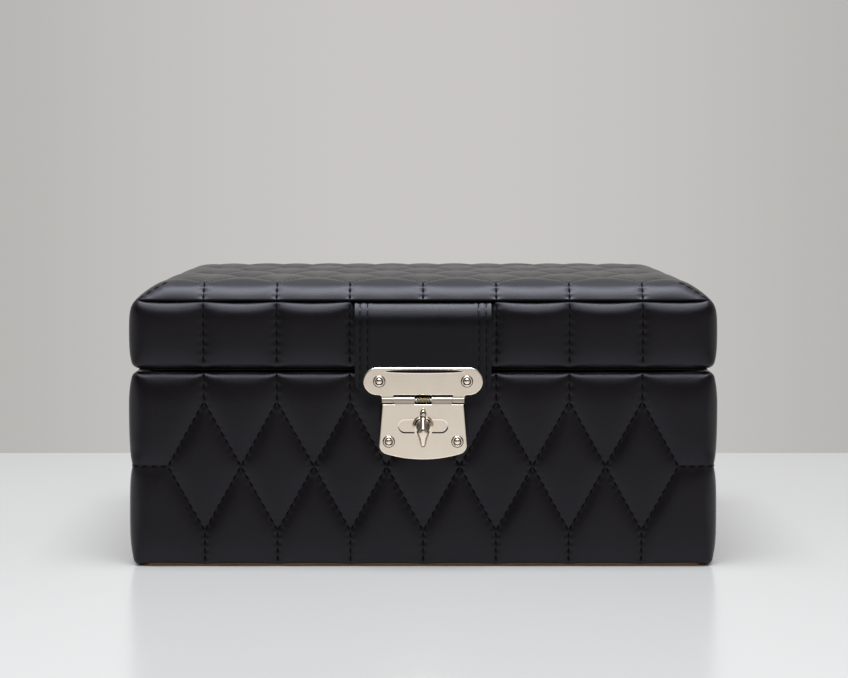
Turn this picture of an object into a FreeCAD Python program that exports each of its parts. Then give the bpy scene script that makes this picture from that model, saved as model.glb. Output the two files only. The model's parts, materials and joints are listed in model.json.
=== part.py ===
"""Quilted leather jewellery case with a hinged padded lid and a turn lock.

The frame: +Z is up, the case rests on z = 0, and the origin is the centre of its underside.
The lock is at the front, on the -Y side. The lid's two hinges are at the back, on the +Y side.
Sizes are millimetres.
"""

import FreeCAD, Part
import math
import os
import re

import Sketcher
from FreeCAD import Placement, Rotation, Vector

# Driving dimensions, which go into the spreadsheet: alias, millimetres, what it is.
DIMENSIONS = [
    ("case_width", 260.0, "lid over its padding, left to right"),
    ("case_depth", 190.0, "lid over its padding, front to back"),
    ("base_inset", 0.4, "base stands this far inside the lid's outline"),
    ("base_rim", 86.5, "height of the base's rim"),
    ("lid_gap", 2.0, "gap between the rim and the lid"),
    ("lid_edge", 119.0, "height of the crease round the lid's top"),
    ("crown", 10.5, "rise of the padded top above that crease"),
    ("crown_slope", 11.5, "width of the sloping border of the padded top"),
    ("crown_rise", 8.5, "rise of that border"),
    ("crown_inset", 2.5, "padded top stands this far inside the lid's outline"),
    ("crown_corner", 13.5, "upright corners of the padded top"),
    ("crown_round", 4.0, "crest of the padded top's border"),
    ("lid_cover", 6.0, "leather and foam on the lid's sides"),
    ("corner_radius", 8.0, "upright corners of the case"),
    ("band_radius", 5.0, "upper edge of the lid's padded sides"),
    ("hem_radius", 3.0, "other edges of the padded sides"),
    ("underlay_thick", 1.5, "suede-faced card under the case"),
    ("underlay_inset", 2.2, "that card inside the case's outline"),
    ("board_thick", 6.0, "bottom board and lid board"),
    ("wall_thick", 7.0, "walls of the base"),
    ("lid_wall_thick", 6.0, "walls of the lid"),
    ("lining_thick", 2.0, "suede-covered lining boards"),
    ("lip_rise", 5.5, "lining stands this far above the rim"),
    ("lip_room", 1.0, "room between that lip and the lid's lining"),
    ("divider_thick", 3.0, "compartment dividers"),
    ("divider_top", 76.0, "height of the dividers"),
    ("ring_depth", 66.0, "ring section, front to back"),
    ("ring_width", 150.0, "ring section, left to right"),
    ("roll_base", 50.0, "height that the ring rolls stand at"),
    ("roll_height", 22.0, "ring roll"),
    ("roll_gap", 1.2, "slit between two ring rolls"),
    ("roll_radius", 8.0, "rounded top of a ring roll"),
    ("mirror_width", 196.0, "mirror in the lid"),
    ("mirror_depth", 126.0, "mirror in the lid"),
    ("mirror_thick", 3.0, "mirror in the lid"),
    ("mirror_bevel", 7.0, "ground border of the mirror"),
    ("mirror_bevel_rise", 0.8, "ground border of the mirror"),
    ("frame_thick", 4.0, "padded frame round the mirror"),
    ("hinge_spread", 75.0, "each lid hinge from the middle"),
    ("hinge_length", 36.0, "lid hinge, along its pin"),
    ("hinge_axis_back", 2.7, "lid hinge pin behind the lid's outline"),
    ("hinge_axis_up", 1.0, "lid hinge pin above the rim"),
    ("leaf_thick", 0.8, "lid hinge leaf"),
    ("leaf_reach", 12.0, "lid hinge leaf, from the knuckle inwards"),
    ("leaf_screw_margin", 3.0, "screws from the hinge leaf's inner edge"),
    ("knuckle_radius", 2.4, "lid hinge barrel"),
    ("pin_radius", 1.0, "lid hinge pin"),
    ("running_gap", 0.05, "radial room of a pin, spindle or screw in its hole"),
    ("knuckle_gap", 0.2, "room between neighbouring knuckles"),
    ("screw_radius", 1.1, "wood screw shank"),
    ("screw_head_radius", 2.0, "wood screw head"),
    ("screw_length", 10.0, "wood screw"),
    ("screw_pitch", 12.0, "spacing of the screws in a hinge leaf"),
    ("flap_width", 60.5, "leather closing flap"),
    ("flap_foot", 77.2, "height of the flap's lower end"),
    ("flap_face_thick", 1.2, "outer leather of the flap"),
    ("flap_back_thick", 0.9, "inner leather of the flap"),
    ("flap_tuck", 2.7, "flap's upper end, out from the centre of the band's edge"),
    ("flap_corner", 4.0, "lower corners of the flap"),
    ("plate_thick", 1.6, "latch plate and hasp plate"),
    ("plate_width", 53.0, "latch plate"),
    ("plate_height", 12.3, "latch plate"),
    ("plate_middle", 83.6, "height of the latch plate's middle"),
    ("plate_round", 0.5, "softened front edges of the plates"),
    ("shoulder_radius", 1.5, "hollow corner between the latch plate and its knuckles"),
    ("rivet_spread", 19.4, "latch plate rivets from the middle"),
    ("rivet_radius", 1.2, "rivet shank"),
    ("rivet_head_radius", 2.3, "rivet head"),
    ("rivet_head_rise", 0.7, "rivet head"),
    ("hasp_axis_height", 75.2, "hasp hinge pin"),
    ("hasp_axis_in", 1.15, "hasp hinge pin behind the plates' front"),
    ("hasp_barrel_radius", 1.55, "hasp hinge barrel"),
    ("hasp_barrel_half", 18.2, "half the length of the hasp hinge barrel"),
    ("hasp_pin_radius", 0.7, "hasp hinge pin"),
    ("latch_knuckle", 5.2, "length of each outer knuckle, on the latch plate"),
    ("hasp_knuckle", 9.0, "length of each inner knuckle, on the hasp"),
    ("spring_coil_radius", 1.15, "hasp spring, to the middle of its wire"),
    ("spring_wire", 0.42, "hasp spring wire diameter"),
    ("spring_turns", 9.0, "hasp spring turns"),
    ("spring_pitch", 0.66, "hasp spring turn to turn"),
    ("hasp_top", 73.4, "upper edge of the hasp plate"),
    ("hasp_top_width", 36.0, "hasp plate at its upper edge"),
    ("hasp_foot", 52.2, "lower corners of the hasp plate"),
    ("hasp_foot_width", 39.4, "hasp plate at its lower corners"),
    ("hasp_arc", 58.0, "radius of the hasp plate's lower edge"),
    ("hasp_corner", 4.2, "lower corners of the hasp plate"),
    ("hasp_rivet_spread", 15.2, "hasp rivets from the middle"),
    ("hasp_rivet_height", 56.8, "hasp rivets"),
    ("back_plate_thick", 0.8, "back plate of the hasp"),
    ("back_plate_half", 18.0, "half the back plate's width"),
    ("back_plate_margin", 1.5, "back plate inside the hasp plate's upper edge and lower corners"),
    ("knob_height", 63.7, "turn knob's axis"),
    ("boss_length", 22.6, "oval boss round the knob"),
    ("boss_height", 6.4, "oval boss round the knob"),
    ("boss_rise", 0.6, "oval boss round the knob"),
    ("boss_ring_radius", 4.9, "round middle of the boss"),
    ("knob_gap", 0.1, "knob clear of the boss, and its washer clear of the back plate"),
    ("collar_radius", 4.3, "knob collar"),
    ("collar_thick", 1.7, "knob collar"),
    ("fin_length", 16.4, "knob fin"),
    ("fin_thick", 2.4, "knob fin"),
    ("fin_rise", 6.0, "knob fin in front of the collar"),
    ("fin_sink", 0.6, "knob fin sunk into the collar's face"),
    ("fin_tip_radius", 1.1, "rounded ends of the knob fin"),
    ("hub_radius", 2.4, "boss between the knob's collar and its fin"),
    ("spindle_radius", 1.4, "knob spindle"),
    ("washer_radius", 3.0, "knob washer"),
    ("washer_thick", 0.4, "knob washer"),
    ("keeper_width", 29.0, "keeper plate on the base"),
    ("keeper_height", 15.0, "keeper plate on the base"),
    ("keeper_thick", 0.8, "keeper plate on the base"),
    ("keeper_slot_length", 11.0, "slot in the keeper"),
    ("keeper_slot_height", 3.6, "slot in the keeper"),
    ("keeper_screw_spread", 10.8, "keeper screws from the middle"),
    ("pocket_radius", 6.5, "recess in the padding behind the keeper"),
    ("pocket_depth", 3.0, "recess in the padding behind the keeper"),
    ("foot_length", 8.0, "cross foot on the spindle"),
    ("foot_width", 2.4, "cross foot on the spindle"),
    ("foot_thick", 0.7, "cross foot on the spindle"),
    ("foot_gap", 0.15, "cross foot clear of the keeper"),
]
SIZES = {alias: size for alias, size, note in DIMENSIONS}

# Places that follow from the driving dimensions, as formulas.
DERIVED = {
    "half_width": "case_width / 2",
    "half_depth": "case_depth / 2",
    "base_x": "half_width - base_inset",
    "base_y": "half_depth - base_inset",
    "wall_x": "half_width - lid_cover",
    "wall_y": "half_depth - lid_cover",
    "room_x": "wall_x - wall_thick",
    "room_y": "wall_y - wall_thick",
    "store_x": "room_x - lining_thick",
    "store_y": "room_y - lining_thick",
    "board_top": "underlay_thick + board_thick",
    "floor_top": "board_top + lining_thick",
    "lip_top": "base_rim + lip_rise",
    "lid_foot": "base_rim + lid_gap",
    "lid_board_foot": "lid_edge - board_thick",
    "lid_room_x": "wall_x - lid_wall_thick",
    "lid_room_y": "wall_y - lid_wall_thick",
    "frame_x": "lid_room_x - lining_thick",
    "frame_y": "lid_room_y - lining_thick",
    "frame_foot": "lid_board_foot - frame_thick",
    "rings_front": "store_y - ring_depth",
    "rings_right": "ring_width - store_x",
    "roll_width": "(ring_depth - 2 * roll_gap) / 3",
    "hinge_y": "half_depth + hinge_axis_back",
    "hinge_z": "base_rim + hinge_axis_up",
    "leaf_back": "hinge_y - knuckle_radius - knuckle_gap",
    "leaf_front": "leaf_back - leaf_reach",
    "leaf_screw_y": "leaf_front + leaf_screw_margin",
    "centre_knuckle": "hinge_length / 3",
    "flap_in": "half_depth + running_gap",
    "flap_out": "flap_in + flap_face_thick + flap_back_thick",
    "plate_front": "flap_out + plate_thick",
    "hasp_axis_y": "plate_front - hasp_axis_in",
    "back_plate_in": "flap_out - back_plate_thick",
    "boss_front": "plate_front + boss_rise",
    "collar_back": "boss_front + knob_gap",
    "collar_front": "collar_back + collar_thick",
    "keeper_front": "base_y + keeper_thick",
    "foot_front": "base_y - foot_gap",
}

UP = Rotation()
DOWN = Rotation(Vector(1, 0, 0), 180)
OUTWARD = Rotation(Vector(1, 0, 0), 90)
INWARD = Rotation(Vector(1, 0, 0), -90)
SIDEWAYS = Rotation(Vector(0, 1, 0), 90)

WORD = re.compile(r"[a-z_]+")
TOUCH = 1e-4

doc = FreeCAD.newDocument("jewellery_case")
pieces = []


def make_sheet():
    """The spreadsheet: a name, a number and a note in each row."""
    sheet = doc.addObject("Spreadsheet::Sheet", "Dims")
    for row, (alias, size, note) in enumerate(DIMENSIONS, start=1):
        sheet.set(f"A{row}", alias)
        sheet.set(f"B{row}", str(size))
        sheet.set(f"C{row}", note)
        sheet.setAlias(f"B{row}", alias)
    doc.recompute()
    return sheet


def in_cells(formula):
    """The formula with derived names opened up and sheet aliases written in full."""

    def open_up(match):
        word = match.group(0)
        if word in DERIVED:
            return f"({in_cells(DERIVED[word])})"
        return f"Dims.{word}" if word in SIZES else word

    return WORD.sub(open_up, str(formula))


def bind(item, **formulas):
    """Binds properties to the sheet."""
    for name, formula in formulas.items():
        item.setExpression(name, in_cells(formula))


def place(item, at, rotation=UP):
    """Puts an item at a point given as three formulas."""
    item.Placement = Placement(Vector(), rotation)
    for axis, formula in zip("xyz", at):
        item.setExpression(f"Placement.Base.{axis}", in_cells(formula))


def fill(box, x, y, z):
    """Makes a box fill the given ranges, each a low and a high formula."""
    bind(
        box,
        Length=f"({x[1]}) - ({x[0]})",
        Width=f"({y[1]}) - ({y[0]})",
        Height=f"({z[1]}) - ({z[0]})",
    )
    place(box, (x[0], y[0], z[0]))
    return box


def piece(item, label):
    """Declares a finished sub-part."""
    item.Label = label
    pieces.append(item)
    return item


def plain_box(x, y, z):
    return fill(doc.addObject("Part::Box", "block"), x, y, z)


def plain_rod(radius, length, at, rotation=UP):
    rod = doc.addObject("Part::Cylinder", "rod")
    bind(rod, Radius=radius, Height=length)
    place(rod, at, rotation)
    return rod


def plain_cone(radius, far_radius, length, at, rotation=UP):
    cone = doc.addObject("Part::Cone", "cone")
    bind(cone, Radius1=radius, Radius2=far_radius, Height=length)
    place(cone, at, rotation)
    return cone


def fused(items):
    if len(items) == 1:
        return items[0]
    union = doc.addObject("Part::MultiFuse", "union")
    union.Shapes = items
    return union


def group(items):
    """Separate solids that share one node."""
    compound = doc.addObject("Part::Compound", "group")
    compound.Links = items
    return compound


def cut(item, tools):
    cutting = doc.addObject("Part::Cut", "cut")
    cutting.Base = item
    cutting.Tool = fused(tools)
    return cutting


def board(label, x, y, z):
    return piece(plain_box(x, y, z), label)


class Solid:
    """A PartDesign body that grows one feature at a time."""

    def __init__(self, label):
        self.body = doc.addObject("PartDesign::Body", label)
        piece(self.body, label)

    def feature(self, kind):
        return self.body.newObject(f"PartDesign::{kind}", kind)

    def box(self, x, y, z, kind="AdditiveBox"):
        return fill(self.feature(kind), x, y, z)

    def rod(self, radius, length, at, rotation=UP, kind="AdditiveCylinder"):
        rod = self.feature(kind)
        bind(rod, Radius=radius, Height=length)
        place(rod, at, rotation)
        return rod

    def hole(self, radius, length, at, rotation=UP):
        """A round hole, whose lost volume is checked."""
        doc.recompute()
        before = self.body.Shape.Volume
        self.rod(radius, length, at, rotation, kind="SubtractiveCylinder")
        doc.recompute()
        if self.body.Shape.Volume >= before:
            raise RuntimeError(f"a hole in {self.body.Label} cuts nothing")

    def edges(self, wanted):
        """Names of the edges of the latest feature that pass a test."""
        doc.recompute()
        shape = self.body.Tip.Shape
        return [f"Edge{n}" for n, edge in enumerate(shape.Edges, start=1) if wanted(edge)]

    def in_front(self):
        """A test for the edges of the foremost face."""
        doc.recompute()
        front = self.body.Tip.Shape.BoundBox.YMin
        return lambda edge: at_depth(edge, front)

    def soften(self, radius, wanted):
        """Rounds the edges that pass a test."""
        names = self.edges(wanted)
        base = self.body.Tip
        fillet = self.feature("Fillet")
        fillet.Base = (base, names)
        bind(fillet, Radius=radius)
        doc.recompute()

    def slope(self, rise, run, wanted):
        """Chamfers the edges that pass a test: rise along the side, run along the end."""
        names = self.edges(wanted)
        base = self.body.Tip
        chamfer = self.feature("Chamfer")
        chamfer.Base = (base, names)
        chamfer.ChamferType = "Two distances"
        bind(chamfer, Size=rise, Size2=run)
        doc.recompute()

    def sketch(self, plane, up, out):
        """An empty sketch on an origin plane, moved up and out along its normal."""
        sketch = self.body.newObject("Sketcher::SketchObject", "Outline")
        support = next(f for f in self.body.Origin.OriginFeatures if f.Role == plane)
        sketch.AttachmentSupport = (support, "")
        sketch.MapMode = "FlatFace"
        sketch.setExpression("AttachmentOffset.Base.y", in_cells(up))
        sketch.setExpression("AttachmentOffset.Base.z", in_cells(out))
        return sketch

    def pad(self, sketch, length, symmetric=False):
        pad = self.feature("Pad")
        pad.Profile = sketch
        pad.SideType = "Symmetric" if symmetric else "One side"
        bind(pad, Length=length)
        doc.recompute()
        return pad


def at_height(edge, z):
    box = edge.BoundBox
    return abs(box.ZMin - z) < TOUCH and abs(box.ZMax - z) < TOUCH


def at_depth(edge, y):
    box = edge.BoundBox
    return abs(box.YMin - y) < TOUCH and abs(box.YMax - y) < TOUCH


def runs_along(edge, axis):
    if not isinstance(edge.Curve, Part.Line):
        return False
    return abs(abs(edge.Curve.Direction.dot(axis)) - 1) < TOUCH


def is_upright(edge):
    return runs_along(edge, Vector(0, 0, 1))


def dimension(sketch, formula, *constraint):
    """Adds a sized constraint and binds it to the sheet."""
    index = sketch.addConstraint(Sketcher.Constraint(*constraint))
    sketch.setExpression(f"Constraints[{index}]", in_cells(formula))


def relate(sketch, *constraints):
    for constraint in constraints:
        sketch.addConstraint(Sketcher.Constraint(*constraint))


def draw_stadium(sketch, length, height):
    """A bar with round ends, centred on the sketch's origin. It is drawn roughly, then sized."""
    half, radius = 10.0, 4.0
    normal = Vector(0, 0, 1)
    quarter = math.pi / 2
    right_round = Part.Circle(Vector(half, 0, 0), normal, radius)
    left_round = Part.Circle(Vector(-half, 0, 0), normal, radius)
    top = sketch.addGeometry(Part.LineSegment(Vector(half, radius, 0), Vector(-half, radius, 0)))
    left = sketch.addGeometry(Part.ArcOfCircle(left_round, quarter, 3 * quarter))
    foot = sketch.addGeometry(Part.LineSegment(Vector(-half, -radius, 0), Vector(half, -radius, 0)))
    right = sketch.addGeometry(Part.ArcOfCircle(right_round, -quarter, quarter))
    relate(
        sketch,
        ("Tangent", top, 2, left, 1),
        ("Tangent", left, 2, foot, 1),
        ("Tangent", foot, 2, right, 1),
        ("Tangent", right, 2, top, 1),
        ("Horizontal", top),
        ("Equal", left, right),
        ("Symmetric", left, 3, right, 3, -1, 1),
    )
    dimension(sketch, f"({height}) / 2", "Radius", right, radius)
    dimension(sketch, f"({length}) - ({height})", "DistanceX", left, 3, right, 3, 2 * half)


def draw_hasp(sketch):
    """The hasp plate: a straight upper edge, flaring sides and a bowed lower edge."""
    top_half, foot_half, top_z, foot_z, bow = 17.0, 19.0, 73.0, 52.0, 60.0
    top_left, top_right = Vector(-top_half, top_z, 0), Vector(top_half, top_z, 0)
    foot_left, foot_right = Vector(-foot_half, foot_z, 0), Vector(foot_half, foot_z, 0)
    middle_z = foot_z + math.sqrt(bow**2 - foot_half**2)
    reach = math.asin(foot_half / bow)
    circle = Part.Circle(Vector(0, middle_z, 0), Vector(0, 0, 1), bow)
    downward = 3 * math.pi / 2
    top = sketch.addGeometry(Part.LineSegment(top_right, top_left))
    left = sketch.addGeometry(Part.LineSegment(top_left, foot_left))
    foot = sketch.addGeometry(Part.ArcOfCircle(circle, downward - reach, downward + reach))
    right = sketch.addGeometry(Part.LineSegment(foot_right, top_right))
    relate(
        sketch,
        ("Coincident", top, 2, left, 1),
        ("Coincident", left, 2, foot, 1),
        ("Coincident", foot, 2, right, 1),
        ("Coincident", right, 2, top, 1),
        ("Symmetric", top, 1, top, 2, -2),
        ("Symmetric", foot, 1, foot, 2, -2),
    )
    dimension(sketch, "hasp_top_width", "DistanceX", top, 2, top, 1, 2 * top_half)
    dimension(sketch, "hasp_foot_width", "DistanceX", foot, 1, foot, 2, 2 * foot_half)
    dimension(sketch, "hasp_top", "DistanceY", -1, 1, top, 1, top_z)
    dimension(sketch, "hasp_foot", "DistanceY", -1, 1, foot, 1, foot_z)
    dimension(sketch, "hasp_arc", "Radius", foot, bow)


def draw_flap(sketch, inner, outer):
    """The flap's side view: out of the crease, round the padded edge and straight down."""
    middle_y, middle_z, inner_r, outer_r = -90.0, 114.0, 5.0, 7.0
    foot_z, start = 77.0, math.radians(123)
    normal = Vector(0, 0, 1)
    middle = Vector(middle_y, middle_z, 0)
    way = Vector(math.cos(start), math.sin(start), 0)
    inner_foot = Vector(middle_y - inner_r, foot_z, 0)
    outer_foot = Vector(middle_y - outer_r, foot_z, 0)
    inner_side = Vector(middle_y - inner_r, middle_z, 0)
    outer_side = Vector(middle_y - outer_r, middle_z, 0)
    bend_in = sketch.addGeometry(
        Part.ArcOfCircle(Part.Circle(middle, normal, inner_r), start, math.pi)
    )
    drop_in = sketch.addGeometry(Part.LineSegment(inner_side, inner_foot))
    foot = sketch.addGeometry(Part.LineSegment(inner_foot, outer_foot))
    drop_out = sketch.addGeometry(Part.LineSegment(outer_foot, outer_side))
    bend_out = sketch.addGeometry(
        Part.ArcOfCircle(Part.Circle(middle, normal, outer_r), start, math.pi)
    )
    tuck = sketch.addGeometry(
        Part.LineSegment(middle + way * outer_r, middle + way * inner_r)
    )
    relate(
        sketch,
        ("Tangent", bend_in, 2, drop_in, 1),
        ("Coincident", drop_in, 2, foot, 1),
        ("Coincident", foot, 2, drop_out, 1),
        ("Tangent", drop_out, 2, bend_out, 2),
        ("Coincident", bend_out, 1, tuck, 1),
        ("Coincident", tuck, 2, bend_in, 1),
        ("Coincident", bend_in, 3, bend_out, 3),
        ("Vertical", drop_in),
        ("Vertical", drop_out),
        ("Horizontal", foot),
        ("PointOnObject", bend_in, 3, tuck),
    )
    dimension(sketch, "half_depth - band_radius", "DistanceX", bend_in, 3, -1, 1, -middle_y)
    dimension(sketch, "lid_edge - band_radius", "DistanceY", -1, 1, bend_in, 3, middle_z)
    dimension(sketch, f"band_radius + {inner}", "Radius", bend_in, inner_r)
    dimension(sketch, f"band_radius + {outer}", "Radius", bend_out, outer_r)
    dimension(sketch, "flap_foot", "DistanceY", -1, 1, foot, 1, foot_z)
    dimension(sketch, "flap_tuck", "DistanceX", bend_in, 1, bend_in, 3, inner_r / 2)


def wood_screw(at, rotation):
    """A countersunk screw, from the flat of its head inwards."""
    head = plain_cone("screw_head_radius", "screw_radius", "leaf_thick", at, rotation)
    shank = plain_rod("screw_radius", "screw_length", at, rotation)
    return fused([head, shank])


def screw_hole(at, rotation):
    """The countersunk hole and pilot that a wood screw goes into."""
    head = plain_cone(
        "screw_head_radius + running_gap",
        "screw_radius + running_gap",
        "leaf_thick",
        at,
        rotation,
    )
    pilot = plain_rod(
        "screw_radius + running_gap", "screw_length + running_gap", at, rotation
    )
    return fused([head, pilot])


def keeper_screw_places():
    return [
        (f"{side} * keeper_screw_spread", "-keeper_front", "knob_height")
        for side in (-1, 1)
    ]


def hinge_screw_places(height):
    """The six screws of the two hinges, on one side of the gap."""
    return [
        (f"{side} * hinge_spread + {step} * screw_pitch", "leaf_screw_y", height)
        for side in (-1, 1)
        for step in (-1, 0, 1)
    ]


LOWER_LEAF_TOP = "base_rim + leaf_thick"
UPPER_LEAF_FOOT = "lid_foot - leaf_thick"


def make_base_carcass():
    """Bottom board, four walls and the suede-faced card that the case stands on."""
    card = Solid("underlay")
    edge_x, edge_y = "half_width - underlay_inset", "half_depth - underlay_inset"
    card.box((f"-({edge_x})", edge_x), (f"-({edge_y})", edge_y), (0, "underlay_thick"))
    card.soften("corner_radius", is_upright)

    across, along = ("-wall_x", "wall_x"), ("-wall_y", "wall_y")
    board("base_board", across, along, ("underlay_thick", "board_top"))
    upright = ("board_top", "base_rim")
    front = plain_box(across, ("-wall_y", "-room_y"), upright)
    front_holes = [screw_hole(at, INWARD) for at in keeper_screw_places()]
    piece(cut(front, front_holes), "base_front_wall")
    back = plain_box(across, ("room_y", "wall_y"), upright)
    back_holes = [screw_hole(at, DOWN) for at in hinge_screw_places(LOWER_LEAF_TOP)]
    piece(cut(back, back_holes), "base_back_wall")
    board("base_left_wall", ("-wall_x", "-room_x"), ("-room_y", "room_y"), upright)
    board("base_right_wall", ("room_x", "wall_x"), ("-room_y", "room_y"), upright)


def make_base_cover():
    """Leather over foam, wrapped round the base's four sides."""
    cover = Solid("base_cover")
    foot, rim = SIZES["underlay_thick"], SIZES["base_rim"]
    tall = ("underlay_thick", "base_rim")
    cover.box(("-base_x", "base_x"), ("-base_y", "base_y"), tall)
    cover.soften("corner_radius", is_upright)
    cover.soften("hem_radius", lambda edge: at_height(edge, foot) or at_height(edge, rim))
    inside = (("-wall_x", "wall_x"), ("-wall_y", "wall_y"))
    cover.box(*inside, tall, kind="SubtractiveBox")
    cover.hole("pocket_radius", "pocket_depth", (0, "-base_y", "knob_height"), INWARD)
    for x, y, z in keeper_screw_places():
        cover.hole("screw_radius + running_gap", "screw_length", (x, "-base_y", z), INWARD)


def make_base_lining():
    """Suede-covered boards inside the base. They stand above the rim and centre the lid."""
    tall = ("floor_top", "lip_top")
    board("floor_lining", ("-room_x", "room_x"), ("-room_y", "room_y"), ("board_top", "floor_top"))
    board("front_lining", ("-room_x", "room_x"), ("-room_y", "-store_y"), tall)
    board("back_lining", ("-room_x", "room_x"), ("store_y", "room_y"), tall)
    board("left_lining", ("-room_x", "-store_x"), ("-store_y", "store_y"), tall)
    board("right_lining", ("store_x", "room_x"), ("-store_y", "store_y"), tall)


def make_compartments():
    """Dividers, and the ring rolls on their bed."""
    tall = ("floor_top", "divider_top")
    long_front = "rings_front - divider_thick"
    board("long_divider", ("-store_x", "store_x"), (long_front, "rings_front"), tall)
    board(
        "ring_divider",
        ("rings_right", "rings_right + divider_thick"),
        ("rings_front", "store_y"),
        tall,
    )
    for name, side in (("left", -1), ("right", 1)):
        middle = f"{side} * store_x / 3"
        board(
            f"front_divider_{name}",
            (f"{middle} - divider_thick / 2", f"{middle} + divider_thick / 2"),
            ("-store_y", long_front),
            tall,
        )
    rings_x = ("-store_x", "rings_right")
    board("ring_bed", rings_x, ("rings_front", "store_y"), ("floor_top", "roll_base"))
    top = SIZES["roll_base"] + SIZES["roll_height"]
    for number in (1, 2, 3):
        roll = Solid(f"ring_roll_{number}")
        front = f"rings_front + {number - 1} * (roll_width + roll_gap)"
        roll.box(rings_x, (front, f"{front} + roll_width"), ("roll_base", "roll_base + roll_height"))
        roll.soften(
            "roll_radius",
            lambda edge: at_height(edge, top) and runs_along(edge, Vector(1, 0, 0)),
        )


def make_lid_carcass():
    """Lid board and the four walls under it."""
    across, along = ("-wall_x", "wall_x"), ("-wall_y", "wall_y")
    board("lid_board", across, along, ("lid_board_foot", "lid_edge"))
    upright = ("lid_foot", "lid_board_foot")
    board("lid_front_wall", across, ("-wall_y", "-lid_room_y"), upright)
    back = plain_box(across, ("lid_room_y", "wall_y"), upright)
    holes = [screw_hole(at, UP) for at in hinge_screw_places(UPPER_LEAF_FOOT)]
    piece(cut(back, holes), "lid_back_wall")
    beside = ("-lid_room_y", "lid_room_y")
    board("lid_left_wall", ("-wall_x", "-lid_room_x"), beside, upright)
    board("lid_right_wall", ("lid_room_x", "wall_x"), beside, upright)


def make_lid_covers():
    """Leather over foam: a band round the lid's sides, and the crowned top."""
    band = Solid("lid_band")
    foot, edge_z = SIZES["base_rim"] + SIZES["lid_gap"], SIZES["lid_edge"]
    tall = ("lid_foot", "lid_edge")
    band.box(("-half_width", "half_width"), ("-half_depth", "half_depth"), tall)
    band.soften("corner_radius", is_upright)
    band.soften("band_radius", lambda edge: at_height(edge, edge_z))
    band.soften("hem_radius", lambda edge: at_height(edge, foot))
    band.box(("-wall_x", "wall_x"), ("-wall_y", "wall_y"), tall, kind="SubtractiveBox")

    top = Solid("lid_top_pad")
    edge_x, edge_y = "half_width - crown_inset", "half_depth - crown_inset"
    crown_z = edge_z + SIZES["crown"]
    top.box((f"-({edge_x})", edge_x), (f"-({edge_y})", edge_y), ("lid_edge", "lid_edge + crown"))
    top.soften("crown_corner", is_upright)
    top.slope("crown_rise", "crown_slope", lambda edge: at_height(edge, crown_z))
    top.soften("crown_round", lambda edge: at_height(edge, crown_z))


def make_lid_lining():
    """Suede-covered boards inside the lid, and the mirror in its frame."""
    tall = ("lip_top + lip_room", "lid_board_foot")
    across, beside = ("-lid_room_x", "lid_room_x"), ("-frame_y", "frame_y")
    board("lid_front_lining", across, ("-lid_room_y", "-frame_y"), tall)
    board("lid_back_lining", across, ("frame_y", "lid_room_y"), tall)
    board("lid_left_lining", ("-lid_room_x", "-frame_x"), beside, tall)
    board("lid_right_lining", ("frame_x", "lid_room_x"), beside, tall)

    glass_x = ("-mirror_width / 2", "mirror_width / 2")
    glass_y = ("-mirror_depth / 2", "mirror_depth / 2")
    frame = Solid("mirror_frame")
    deep = ("frame_foot", "lid_board_foot")
    frame.box(("-frame_x", "frame_x"), ("-frame_y", "frame_y"), deep)
    frame.box(glass_x, glass_y, deep, kind="SubtractiveBox")
    mirror = Solid("mirror")
    glass_foot = SIZES["lid_edge"] - SIZES["board_thick"] - SIZES["mirror_thick"]
    mirror.box(glass_x, glass_y, ("lid_board_foot - mirror_thick", "lid_board_foot"))
    mirror.slope("mirror_bevel_rise", "mirror_bevel", lambda edge: at_height(edge, glass_foot))


def make_flap():
    """Two layers of leather from the lid's crease down over the gap."""
    foot_z = SIZES["flap_foot"]
    inside, between = "running_gap", "running_gap + flap_back_thick"
    layers = (
        ("flap_backing", inside, between),
        ("flap_face", between, f"{between} + flap_face_thick"),
    )
    for label, inner, outer in layers:
        layer = Solid(label)
        sketch = layer.sketch("YZ_Plane", 0, 0)
        draw_flap(sketch, inner, outer)
        layer.pad(sketch, "flap_width", symmetric=True)
        layer.soften(
            "flap_corner",
            lambda edge: at_height(edge, foot_z) and runs_along(edge, Vector(0, 1, 0)),
        )
        for side in (-1, 1):
            layer.hole(
                "rivet_radius + running_gap",
                "flap_out",
                (f"{side} * rivet_spread", 0, "plate_middle"),
                OUTWARD,
            )


def make_lid_hinge(name, side):
    """One butt hinge: the base's leaf has the outer knuckles, the lid's leaf the middle one."""
    middle = f"{side} * hinge_spread"
    start = f"{middle} - hinge_length / 2"
    third = "centre_knuckle"
    axis = ("hinge_y", "hinge_z")
    knuckles = {
        "lower": [(start, f"{start} + {third}"), (f"{start} + 2 * {third}", f"{start} + 3 * {third}")],
        "upper": [
            (f"{start} + {third} + knuckle_gap", f"{start} + 2 * {third} - knuckle_gap"),
        ],
    }
    leaf_z = {
        "lower": ("base_rim", LOWER_LEAF_TOP),
        "upper": (UPPER_LEAF_FOOT, "lid_foot"),
    }
    screws = {"lower": (LOWER_LEAF_TOP, DOWN), "upper": (UPPER_LEAF_FOOT, UP)}
    for leaf in ("lower", "upper"):
        solids = [
            plain_box((start, f"{start} + hinge_length"), ("leaf_front", "leaf_back"), leaf_z[leaf])
        ]
        for low, high in knuckles[leaf]:
            solids.append(plain_box((low, high), ("leaf_back", "hinge_y"), leaf_z[leaf]))
            solids.append(plain_rod("knuckle_radius", f"{high} - ({low})", (low, *axis), SIDEWAYS))
        bore = plain_rod("pin_radius + running_gap", "hinge_length", (start, *axis), SIDEWAYS)
        height, way = screws[leaf]
        holes = [
            screw_hole((f"{middle} + {step} * screw_pitch", "leaf_screw_y", height), way)
            for step in (-1, 0, 1)
        ]
        piece(cut(fused(solids), [bore, *holes]), f"hinge_leaf_{leaf}_{name}")
    pin = plain_rod("pin_radius", "hinge_length", (start, *axis), SIDEWAYS)
    piece(pin, f"hinge_pin_{name}")


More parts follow.
